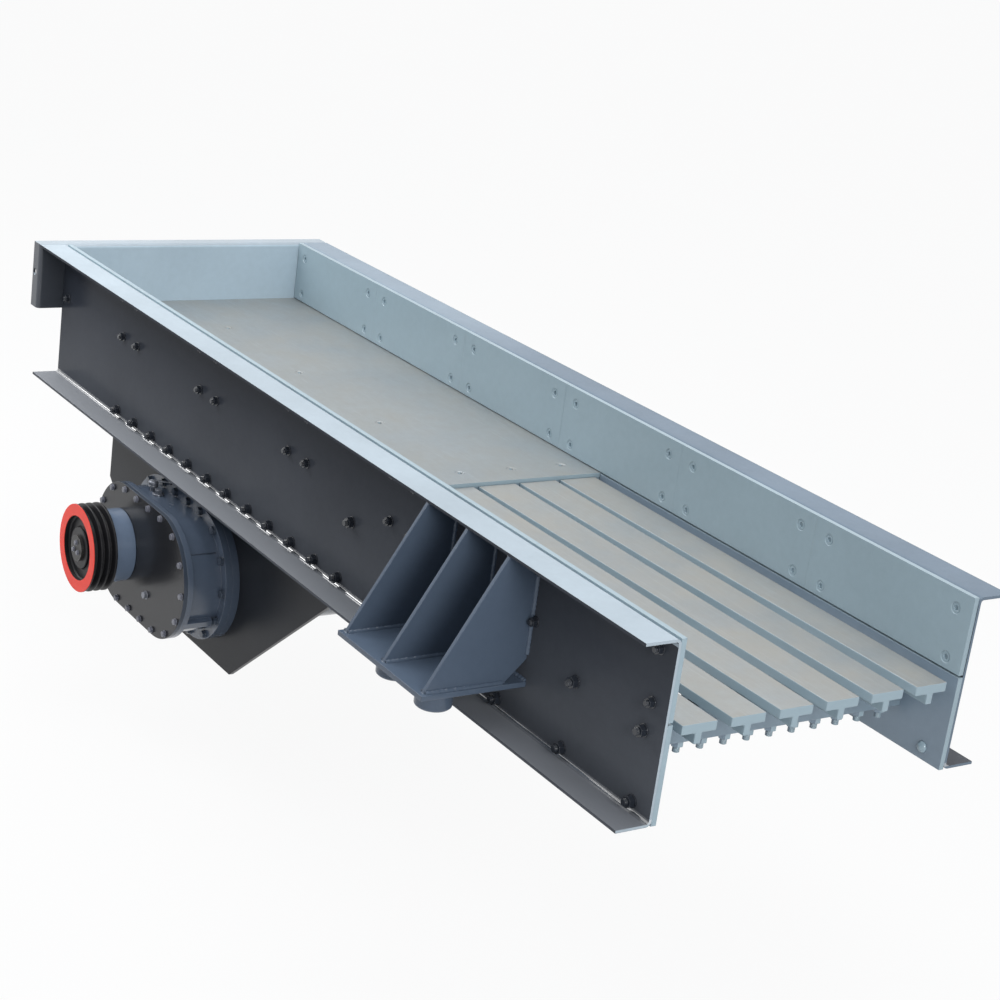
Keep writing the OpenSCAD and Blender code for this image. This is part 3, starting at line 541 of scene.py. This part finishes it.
MATERIALS.update({
    "worn_deck": worn_steel("worn_deck", (0.27, 0.3, 0.315), stain=(0.235, 0.235, 0.215),
                            stretch=(1.0, 26.0, 26.0), still_painted=deck_end),
    "worn_bar": worn_steel("worn_bar", (0.3, 0.32, 0.325), stain=(0.285, 0.27, 0.235),
                           stretch=(1.0, 40.0, 40.0), still_painted=bar_sides),
    "machined_steel": machined("machined_steel", (0.5, 0.5, 0.51)),
    "hub_steel": machined("hub_steel", (0.03, 0.029, 0.028), rough=0.42, metal=0.3),
    "plug_steel": machined("plug_steel", (0.22, 0.235, 0.27), rough=0.36, metal=0.7),
    "seal_rubber": rubber("seal_rubber", (0.012, 0.012, 0.013)),
})
SLOTS = {part["node"]: part["material_slot"] for part in frame["record"]["subparts"]}


# ---- Pieces ----

def finish_piece(name, bm, body, slot, replaced=(), merge=1e-6, angle=32):
    """Makes a closed mesh a piece that rides on a body, in the finish of a material slot."""
    bmesh.ops.remove_doubles(bm, verts=bm.verts, dist=merge)
    bmesh.ops.recalc_face_normals(bm, faces=bm.faces)
    for face in bm.faces:
        face.smooth = True
    for edge in bm.edges:
        edge.smooth = not edge.is_manifold or edge.calc_face_angle(0.0) < math.radians(angle)
    mesh = bpy.data.meshes.new(name)
    bm.to_mesh(mesh)
    bm.free()
    piece = bpy.data.objects.new(name, mesh)
    bpy.context.scene.collection.objects.link(piece)
    mesh.materials.append(MATERIALS[slot])
    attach(piece, body)
    if replaced:
        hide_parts(*replaced)
    evened = piece.modifiers.new("even_normals", "WEIGHTED_NORMAL")
    evened.keep_sharp = True
    evened.weight = 100
    return piece


def joined_copy(node):
    """A copy of a node's loose triangles with their corners joined."""
    bm = bmesh.new()
    bm.from_mesh(nodes[node].data)
    bmesh.ops.remove_doubles(bm, verts=bm.verts, dist=1e-5)
    return bm


def round_edges(bm, edges, width):
    bmesh.ops.bevel(bm, geom=edges, offset=width, offset_type="OFFSET", segments=2, profile=0.5,
                    affect="EDGES", clamp_overlap=True, material=-1)


def soften(node, width):
    """A solid with its sharp edges rounded, as dressed plate or a casting has."""
    bm = joined_copy(node)
    bmesh.ops.dissolve_limit(bm, angle_limit=math.radians(1), verts=bm.verts, edges=bm.edges)
    sharp = [edge for edge in bm.edges
             if edge.is_manifold and edge.calc_face_angle() > math.radians(28)]
    round_edges(bm, sharp, width)
    finish_piece(node + "_dressed", bm, "frame", SLOTS[node], (node,))


def islands(node):
    """The box of each separate solid in a node, as (lowest corner, highest corner)."""
    bm = joined_copy(node)
    left, boxes = set(bm.verts), []
    for seed in bm.verts:
        if seed not in left:
            continue
        left.remove(seed)
        found, waiting = [seed], [seed]
        while waiting:
            vert = waiting.pop()
            for edge in vert.link_edges:
                other = edge.other_vert(vert)
                if other in left:
                    left.remove(other)
                    found.append(other)
                    waiting.append(other)
        low = Vector([min(vert.co[axis] for vert in found) for axis in range(3)])
        high = Vector([max(vert.co[axis] for vert in found) for axis in range(3)])
        boxes.append((low, high))
    bm.free()
    return boxes


# ---- Turned and hexagonal forms, drawn along +Y ----

CHAMFER = 0.0012
CHAMFER_LARGE = 0.0016
UP = Matrix.Rotation(math.pi / 2, 4, "X")  # turns +Y to +Z
DOWN = Matrix.Rotation(-math.pi / 2, 4, "X")  # turns +Y to -Z, and +Z to +Y


def lathe(bm, profile, steps=32):
    """Turns a line of (radius, height) points about the Y axis."""
    verts = [bm.verts.new((radius, height, 0.0)) for radius, height in profile]
    edges = [bm.edges.new(pair) for pair in zip(verts, verts[1:])]
    bmesh.ops.spin(bm, geom=verts + edges, cent=(0, 0, 0), axis=(0, 1, 0), angle=math.tau,
                   steps=steps, use_merge=True)
    bmesh.ops.remove_doubles(bm, verts=bm.verts, dist=1e-6)


def hexagon(bm, radius, low, high, chamfer=CHAMFER):
    """A hexagon nut or head between two heights, with its outer corners taken off."""
    middle = Matrix.Translation((0, (low + high) / 2, 0))
    made = bmesh.ops.create_cone(bm, cap_ends=True, segments=6, radius1=radius, radius2=radius,
                                 depth=high - low, matrix=middle @ DOWN)
    rims = [edge for edge in bm.edges if all(vert in made["verts"] for vert in edge.verts)
            and abs(edge.verts[0].co.y - edge.verts[1].co.y) < 1e-6]
    round_edges(bm, rims, chamfer)


def washer(bm, radius, low, high):
    rim = 0.0005
    lathe(bm, [(0.0, low), (radius, low), (radius, high - rim), (radius - rim, high), (0.0, high)],
          steps=28)


def thread(radius, low, high):
    """Profile of a threaded end that stands up from low to high."""
    pitch, root, lead = 0.0025, radius * 0.86, 0.001
    turns = max(2, int((high - low) / pitch))
    step = (high - low - lead) / turns
    teeth = []
    for turn in range(turns):
        teeth += [(radius, low + turn * step), (root, low + (turn + 0.5) * step)]
    return teeth + [(radius, high - lead), (radius - lead, high), (0.0, high)]


def template(build):
    """A mesh that can be stamped many times."""
    bm = bmesh.new()
    build(bm)
    bmesh.ops.recalc_face_normals(bm, faces=bm.faces)
    mesh = bpy.data.meshes.new("template")
    bm.to_mesh(mesh)
    bm.free()
    return mesh


def stamp(target, mesh, matrix):
    """Adds a copy of a template to a bmesh."""
    first = len(target.verts)
    target.from_mesh(mesh)
    target.verts.ensure_lookup_table()
    bmesh.ops.transform(target, matrix=matrix, verts=target.verts[first:])


# ---- Fasteners ----

M16, M16_HEX = 0.008, 0.0139  # shank's radius, and a hexagon's radius to its corners
M20, M20_HEX = 0.01, 0.0173
LINER_WASHER, FRAME_WASHER, STUD_WASHER, CARRIER_WASHER = 0.0159, 0.0183, 0.0188, 0.0149
THICK = 0.003  # thickness of a washer


def liner_bolt(length):
    """Countersunk bolt with a hexagon socket, its nut, washer and threaded end."""
    socket, floor, face, cone_end = 0.0068, 0.0065, 0.0018, 0.009
    nut_low, nut_high = length - 0.02, length - 0.007

    def build(bm):
        head = [(0.0, floor), (socket, floor), (socket + 0.0006, face), (0.0142, face),
                (0.015, face + 0.0008), (M16, cone_end), (M16, nut_low)]
        lathe(bm, head + thread(M16, nut_low, length), steps=24)
        washer(bm, LINER_WASHER, nut_low - THICK, nut_low)
        hexagon(bm, M16_HEX, nut_low, nut_high)
    return template(build)


def frame_bolt(length):
    """Cup-headed bolt, its nut, washer and threaded end."""
    cup, rise, collar = 0.0165, 0.011, 0.018
    thread_low, nut_low, nut_high = length - 0.028, length - 0.026, length - 0.01

    def build(bm):
        angles = [step * math.pi / 16 for step in range(9)]
        head = [(cup * math.sin(angle), rise - rise * math.cos(angle)) for angle in angles]
        head += [(collar, rise), (M20, rise + 0.0005), (M20, thread_low)]
        lathe(bm, head + thread(M20, thread_low, length), steps=24)
        washer(bm, FRAME_WASHER, nut_low - THICK, nut_low)
        hexagon(bm, M20_HEX, nut_low, nut_high, CHAMFER_LARGE)
    return template(build)


def stud(length):
    """Hanging stud, drawn from its lower end up: threaded end, nut, washer and shank."""
    lead, pitch, root, thread_high, nut_low, nut_high = 0.001, 0.0026, 0.0088, 0.0168, 0.017, 0.035

    def build(bm):
        end = [(0.0, 0.0), (M20 - lead, 0.0), (M20, lead)]
        for turn in range(6):
            end += [(M20, lead + turn * pitch), (root, lead + pitch / 2 + turn * pitch)]
        lathe(bm, end + [(M20, thread_high), (M20, length), (0.0, length)], steps=20)
        hexagon(bm, M20_HEX, nut_low, nut_high, CHAMFER_LARGE)
        washer(bm, STUD_WASHER, nut_high, nut_high + THICK)
    return template(build)


def hex_bolt(radius, shank, length, head):
    """Hexagon bolt drawn from its head's face: hexagon with a turned face, washer and shank."""
    proud, turned, lead = 0.0003, radius * 0.8, 0.001

    def build(bm):
        hexagon(bm, radius, proud, head)
        lathe(bm, [(0.0, 0.0), (radius * 0.78, 0.0), (turned, CHAMFER), (turned, head),
                   (0.0, head)], steps=24)
        washer(bm, radius + 0.001, head, head + 0.002)
        lathe(bm, [(0.0, head), (shank, head), (shank, length - lead), (shank - lead, length),
                   (0.0, length)], steps=20)
    return template(build)


def through_bolt(length):
    """Bolt with head and washer at one end and a nut, washer and threaded end at the other."""
    head, thread_low, nut_low, nut_high = 0.01, length - 0.017, length - 0.016, length - 0.006

    def build(bm):
        hexagon(bm, M16_HEX, 0.0, head)
        washer(bm, CARRIER_WASHER, head, head + THICK)
        lathe(bm, [(0.0, head), (M16, head), (M16, thread_low)] + thread(M16, thread_low, length),
              steps=20)
        washer(bm, CARRIER_WASHER, nut_low - THICK, nut_low)
        hexagon(bm, M16_HEX, nut_low, nut_high)
    return template(build)


def at_front(low, high):
    """Starts a template in the middle of a solid's front."""
    return Matrix.Translation(((low.x + high.x) / 2, low.y, (low.z + high.z) / 2))


def at_foot(low, high):
    """Stands a template on the middle of a solid's foot."""
    return Matrix.Translation(((low.x + high.x) / 2, (low.y + high.y) / 2, low.z)) @ UP


def from_top(low, high):
    """Hangs a template from the middle of a solid's top."""
    return Matrix.Translation(((low.x + high.x) / 2, (low.y + high.y) / 2, high.z)) @ DOWN


def at_back(low, high):
    """Starts a template in the middle of a solid's back, turned round."""
    back = Matrix.Translation(((low.x + high.x) / 2, high.y, (low.z + high.z) / 2))
    return back @ Matrix.Rotation(math.pi, 4, "Z")


def outwards(low, high):
    """Runs a template along a solid away from the trough's middle."""
    return at_front(low, high) if low.y > 0 else at_back(low, high)


def inwards(low, high):
    """Runs a template along a solid towards the trough's middle."""
    return at_back(low, high) if low.y > 0 else at_front(low, high)


def along_y(draw):
    return lambda low, high: draw(high.y - low.y)


def along_z(draw):
    return lambda low, high: draw(high.z - low.z)


def cover_bolt(length):
    return hex_bolt(radius=0.011, shank=0.006, length=length, head=0.008)


def end_plate_bolt(low, high):
    return hex_bolt(radius=(high.z - low.z) / 2, shank=0.005, length=high.y - low.y, head=0.006)


def dress_fasteners(node, draw, put, body="frame", coat=None, alike=True):
    """Replaces a node's fasteners: draw(low, high) makes one and put(low, high) places it."""
    boxes = islands(node)
    first = draw(*boxes[0])
    bm = bmesh.new()
    for low, high in boxes:
        stamp(bm, first if alike else draw(low, high), put(low, high))
    piece = finish_piece(node + "_dressed", bm, body, SLOTS[node], (node,), merge=1e-7)
    if coat:
        piece.data.materials[0] = MATERIALS[coat]


# ---- Plugs on the gear case ----

def level_plug(depth):
    """Hexagon plug with a collar and a shank that starts inside it."""
    head, collar, seat, shank, start = 0.0105, 0.0145, 0.012, 0.01, 0.011

    def build(bm):
        hexagon(bm, 0.0128, 0.0, head)
        lathe(bm, [(0.0, head), (collar, head), (collar, seat), (0.0, seat)], steps=28)
        lathe(bm, [(0.0, start), (shank, start), (shank, depth), (0.0, depth)], steps=24)
    return template(build)


def filler_cap(height):
    """Flat round cap on a neck, with a hexagon on top."""
    neck, rim, lip = 0.01, 0.019, 0.001
    low, high = height - 0.019, height - 0.014

    def build(bm):
        lathe(bm, [(0.0, 0.0), (neck, 0.0), (neck, low), (rim - lip, low), (rim, low + lip),
                   (rim, high - lip), (rim - lip, high), (0.0, high)])
        hexagon(bm, 0.014, high - 0.0005, height, CHAMFER_LARGE)
    return template(build)


def breather_cap(height):
    """Breather with a slot round it, below a domed top."""
    neck, rim, slot = 0.01, 0.017, 0.0148
    cap = height - 0.024
    outline = [(rim - 0.0015, 0.0), (rim, 0.0015), (rim, 0.006), (slot, 0.0066), (slot, 0.0092),
               (rim, 0.0098), (rim, 0.018), (0.0135, 0.0226)]

    def build(bm):
        lathe(bm, [(0.0, 0.0), (neck, 0.0), (neck, cap)]
              + [(radius, cap + rise) for radius, rise in outline]
              + [(0.006, height), (0.0, height)], steps=36)
    return template(build)


def dipstick_handle():
    """A short rod with a ball on its end, where the ball starts half a radian round."""
    rod, ball, centre, start = 0.0035, 0.0075, 0.0585, 0.5

    def build(bm):
        angles = [start + step * (math.pi - start) / 8 for step in range(9)]
        lathe(bm, [(0.0, -0.012), (rod, -0.011), (rod, 0.052)]
              + [(ball * math.sin(angle), centre - ball * math.cos(angle)) for angle in angles],
              steps=20)
    return template(build)


def make_plugs():
    """Level plug in the cover, filler cap and breather on top, and the dipstick's handle."""
    plug, filler, breather = sorted(islands("oil_plugs"), key=lambda box: (box[0].z, -box[0].x))
    bm = bmesh.new()
    stamp(bm, along_y(level_plug)(*plug), at_front(*plug))
    stamp(bm, along_z(filler_cap)(*filler), at_foot(*filler))
    stamp(bm, along_z(breather_cap)(*breather), at_foot(*breather))
    low, high = breather
    top = Vector(((low.x + high.x) / 2, (low.y + high.y) / 2, high.z))
    sunk = Vector((0, 0, -0.002))
    arm = Vector((0.55, 0.83, 0.0)).normalized()
    turn = Vector((0, 1, 0)).rotation_difference(arm).to_matrix().to_4x4()
    stamp(bm, dipstick_handle(), Matrix.Translation(top + sunk) @ turn)
    finish_piece("oil_plugs_dressed", bm, "frame", "plug_steel", ("oil_plugs",), merge=1e-7)


# ---- Sheave ----

LIP = 0.0012
FIRST_GROOVE, GROOVE_PITCH, GROOVE_DEPTH = 0.017, 0.0255, 0.02
GROOVE_TOP, GROOVE_FLOOR = 0.01, 0.0028  # half widths of a groove
SHEAVE_BORE, HUB_R, RIM_THICK = 0.0326, 0.071, 0.04
HUB_FACE, HOLLOW_FRONT, WEB_FRONT = 0.008, 0.017, 0.02
WEB_BACK, HOLLOW_BACK = 0.034, 0.037


def make_sheave():
    """The sheave's rim, web and hub, turned in one, with rounded groove lips."""
    width = SHEAVE_HIGH.y - SHEAVE_LOW.y
    floor_r, rim_in, hub = SHEAVE_R - GROOVE_DEPTH, SHEAVE_R - RIM_THICK, HUB_R
    rim = [(SHEAVE_R - LIP, 0.0), (SHEAVE_R, LIP)]
    for groove in range(3):
        middle = FIRST_GROOVE + groove * GROOVE_PITCH
        half = [(SHEAVE_R, GROOVE_TOP + LIP), (SHEAVE_R - LIP, GROOVE_TOP - 0.0004),
                (floor_r + 0.001, GROOVE_FLOOR + 0.001), (floor_r, GROOVE_FLOOR)]
        rim += [(radius, middle - aside) for radius, aside in half]
        rim += [(radius, middle + aside) for radius, aside in reversed(half)]
    rim += [(SHEAVE_R, width - LIP), (SHEAVE_R - LIP, width)]
    front = [(SHEAVE_BORE, HUB_FACE), (hub - 0.002, HUB_FACE), (hub, HUB_FACE + 0.002),
             (hub, HOLLOW_FRONT), (hub + 0.004, WEB_FRONT), (rim_in - 0.004, WEB_FRONT),
             (rim_in, WEB_FRONT - 0.004), (rim_in, LIP), (rim_in + LIP, 0.0)]
    back = [(rim_in + 0.004, width), (rim_in + 0.003, width - 0.002),
            (rim_in + 0.0005, HOLLOW_BACK), (rim_in - 0.003, WEB_BACK), (hub + 0.003, WEB_BACK),
            (hub, HOLLOW_BACK), (hub, width - 0.001), (hub - 0.001, width),
            (SHEAVE_BORE, width), (SHEAVE_BORE, HUB_FACE)]
    bm = bmesh.new()
    lathe(bm, front + rim + back, steps=96)
    axle = (SHEAVE_LOW + SHEAVE_HIGH) / 2
    bmesh.ops.translate(bm, verts=bm.verts, vec=(axle.x, SHEAVE_LOW.y, axle.z))
    finish_piece("sheave_dressed", bm, "drive", "sheave_black", ("sheave",))


# ---- Welds and joints ----

RIPPLE = 0.0045  # length of a bead from one ripple to the next
BASE_TOP = 0.015  # top of a bracket's base plate
GUSSETS, GUSSET_HALF = (-0.203, 0.0, 0.203), 0.006
CLIP_HIGH, CLIP_OUT, CLIP_TOP = 0.075, 0.07, 0.03  # a gusset's clipped corners at the web
BASE_EDGE = 0.016  # from the base plate's rim to a gusset's end
FLANGE = 0.1  # width of the top flange over a bracket


def weld_bead(bm, start, end, side, size=0.008):
    """A rippled fillet weld in the corner along a line; side points out of the corner."""
    start, end, side = Vector(start), Vector(end), Vector(side).normalized()
    length = (end - start).length
    along = (end - start).normalized()
    made = bmesh.ops.create_circle(bm, segments=10, radius=size, cap_ends=True)
    verts = made["verts"]
    turn = Matrix((side, along.cross(side), along)).transposed().to_4x4()
    bmesh.ops.transform(bm, matrix=Matrix.Translation(start) @ turn, verts=verts)
    rings = max(6, int(length / RIPPLE))
    step = along * (length / rings)
    face = [face for face in bm.faces if all(vert in verts for vert in face.verts)][0]
    centre = start.copy()
    for ring in range(rings):
        face = bmesh.ops.extrude_discrete_faces(bm, faces=[face])["faces"][0]
        moved = list(face.verts)
        bmesh.ops.translate(bm, verts=moved, vec=step)
        centre = centre + step
        bulge = size * (1.0 + 0.13 * math.sin(ring * 2.1) + 0.05 * math.sin(ring * 0.9))
        for vert in moved:
            vert.co = centre + (vert.co - centre).normalized() * bulge


def make_bracket_welds(hand, out):
    """Beads up and along both faces of each gusset, and along the base plate's root."""
    low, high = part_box(hand + "_spring_bracket")
    web, rim = (low.y, high.y) if out > 0 else (high.y, low.y)
    bm = bmesh.new()
    for gusset in GUSSETS:
        for face in (-1, 1):
            x = gusset + face * GUSSET_HALF
            weld_bead(bm, (x, web, BASE_TOP + CLIP_HIGH), (x, web, high.z - CLIP_TOP),
                      side=(face, out, 0))
            weld_bead(bm, (x, web + out * CLIP_OUT, BASE_TOP),
                      (x, rim - out * BASE_EDGE, BASE_TOP), side=(face, 0, 1))
            weld_bead(bm, (x, web + out * CLIP_TOP, high.z),
                      (x, web + out * (FLANGE - 0.004), high.z), side=(face, 0, -1), size=0.006)
    weld_bead(bm, (low.x + 0.003, web, BASE_TOP), (high.x - 0.003, web, BASE_TOP),
              side=(0, out, 1))
    finish_piece(hand + "_bracket_welds", bm, "frame", "bracket_paint", angle=60)


def make_liner_joints(hand, out):
    """Filler painted over the butt joints between neighbouring liners, a hair below their faces."""
    hair = 0.0003
    boxes = sorted((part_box(f"{hand}_liner_{number}") for number in range(1, 7)),
                   key=lambda box: box[0].x)
    bm = bmesh.new()
    for (low, high), (after, _) in zip(boxes, boxes[1:]):
        size = Vector((after.x - high.x + 0.001, high.y - low.y - hair, high.z - low.z - 2 * hair))
        middle = Vector(((high.x + after.x) / 2, (low.y + high.y) / 2 + out * hair / 2,
                         (low.z + high.z) / 2))
        bmesh.ops.create_cube(bm, size=1.0, matrix=Matrix.Translation(middle)
                              @ Matrix.Diagonal(size).to_4x4())
    finish_piece(hand + "_liner_joints", bm, "frame", "liner_paint")


# ---- All pieces ----

SOFTENED = {  # radius of the rounded edges, in metres
    0.0005: [f"{hand}_liner_{number}" for hand in ("left", "right") for number in range(1, 7)],
    0.0012: ["left_side_plate", "right_side_plate", "rear_wall", "deck_pan"],
    0.0014: ["left_lower_plate", "right_lower_plate"],
    0.0015: ["deck_wear_plate", "front_cross_beam", "middle_cross_beam", "rear_cross_beam",
             "rear_support_beam", "left_seat_plate", "right_seat_plate"],
    0.0018: ["left_spring_bracket", "right_spring_bracket", "gear_case_cover", "right_end_cover"],
    0.002: ["exciter_tube", "left_bearing_carrier", "right_bearing_carrier"],
    0.0022: ["gear_case"],
    0.003: ["seal_housing"],
    0.004: [f"grizzly_bar_{number}" for number in range(1, 7)],
}
for width, softened in SOFTENED.items():
    for node in softened:
        soften(node, width)
dress_fasteners("liner_bolts", along_y(liner_bolt), outwards)
dress_fasteners("frame_bolts", along_y(frame_bolt), outwards)
dress_fasteners("deck_bolts", along_z(liner_bolt), from_top)
dress_fasteners("grizzly_studs", along_z(stud), at_foot, coat="liner_paint")
dress_fasteners("cover_bolts", along_y(cover_bolt), at_front, coat="bolt_grey")
dress_fasteners("carrier_bolts", along_y(through_bolt), inwards, coat="bolt_blue", alike=False)
dress_fasteners("end_plate_bolts", end_plate_bolt, at_front, body="drive", coat="bolt_grey")
make_plugs()
make_sheave()
for hand, out in (("left", -1), ("right", 1)):
    make_bracket_welds(hand, out)
    make_liner_joints(hand, out)
for node, solid in nodes.items():
    solid.data.materials.clear()
    solid.data.materials.append(MATERIALS[SLOTS[node]])


# ---- Studio ----

FLOOR_REACH, FLOOR_DROP = 160.0, 0.3
LENS, SENSOR = 77.08, 36.0
CAMERA_SPOT = (4.3639, -3.6137, 2.2522)
CAMERA_ROUND, CAMERA_UP, CAMERA_ROLL = 35.421, 18.656, 7.876  # degrees


def make_floor():
    bm = bmesh.new()
    bmesh.ops.create_grid(bm, x_segments=1, y_segments=1, size=FLOOR_REACH)
    bmesh.ops.translate(bm, verts=bm.verts, vec=(0, 0, cad_box[0][2] - FLOOR_DROP))
    mesh = bpy.data.meshes.new("floor")
    bm.to_mesh(mesh)
    bm.free()
    floor = bpy.data.objects.new("floor", mesh)
    bpy.context.scene.collection.objects.link(floor)
    material, tree, shader = blank("floor_white", roughness=0.9)
    shade = spread(tree, noise(tree, object_place(tree), scale=0.8, detail=3.0), 0.3, 0.7)
    first, second = FLOOR_TONES
    pale = blend_colour(tree, shade, rgb(*first), rgb(*second))
    tree.links.new(pale, shader.inputs["Base Color"])
    glow = place(tree, "Emission", {"Color": rgb(*WHITE), "Strength": 1.0})
    share = times(tree, seen_directly(tree), 0.93)
    mixed = place(tree, "MixShader", {0: share, 1: shader.outputs[0], 2: glow.outputs[0]})
    tree.links.new(mixed.outputs[0], tree.nodes["Material Output"].inputs["Surface"])
    mesh.materials.append(material)


def make_world():
    world = bpy.data.worlds.new("studio")
    bpy.context.scene.world = world
    world.use_nodes = True
    tree = world.node_tree
    tree.nodes.clear()
    way = place(tree, "TexCoord").outputs["Generated"]
    up = place(tree, "SeparateXYZ", {0: way}).outputs["Z"]
    sky = blend_colour(tree, spread(tree, up, -0.1, 0.9), rgb(*SKY_LOW), rgb(*SKY_HIGH))
    light = place(tree, "Background", {"Color": sky, "Strength": 0.75})
    plain = place(tree, "Background", {"Color": rgb(*WHITE), "Strength": 1.0})
    mixed = place(tree, "MixShader",
                  {0: seen_directly(tree), 1: light.outputs[0], 2: plain.outputs[0]})
    out = place(tree, "OutputWorld")
    tree.links.new(mixed.outputs[0], out.inputs["Surface"])


def make_lamp(name, position, aim, size, power, length=None):
    """A soft round lamp, or one length metres long where that is given."""
    lamp = bpy.data.lights.new(name, "AREA")
    lamp.shape, lamp.size, lamp.energy = "DISK", size, power
    if length:
        lamp.shape, lamp.size, lamp.size_y = "RECTANGLE", length, size
    holder = bpy.data.objects.new(name, lamp)
    bpy.context.scene.collection.objects.link(holder)
    holder.location = position
    holder.rotation_euler = (Vector(aim) - Vector(position)).to_track_quat("-Z", "Y").to_euler()


def make_camera():
    camera = bpy.data.objects.new("camera", bpy.data.cameras.new("camera"))
    bpy.context.scene.collection.objects.link(camera)
    camera.data.lens, camera.data.sensor_width = LENS, SENSOR
    camera.data.clip_end = 500.0
    camera.location = CAMERA_SPOT
    turn = (Matrix.Rotation(math.radians(90 - CAMERA_ROUND), 4, "Z")
            @ Matrix.Rotation(math.radians(90 - CAMERA_UP), 4, "X")
            @ Matrix.Rotation(math.radians(CAMERA_ROLL), 4, "Z"))
    camera.rotation_euler = turn.to_euler()
    bpy.context.scene.camera = camera


make_floor()
make_world()
make_lamp("overhead", (-0.9, 0.2, 5.2), aim=(-0.9, 0.0, 0.0), size=4.0, power=190)
make_lamp("front", (6.2, -1.7, 2.6), aim=(-0.5, 0.0, 0.0), size=3.0, power=215)
make_lamp("rear", (-5.6, -2.3, 2.4), aim=(-5.6, -0.5, -0.1), size=1.2, power=150, length=6.0)
make_camera()
bpy.context.scene.view_settings.view_transform = "Standard"
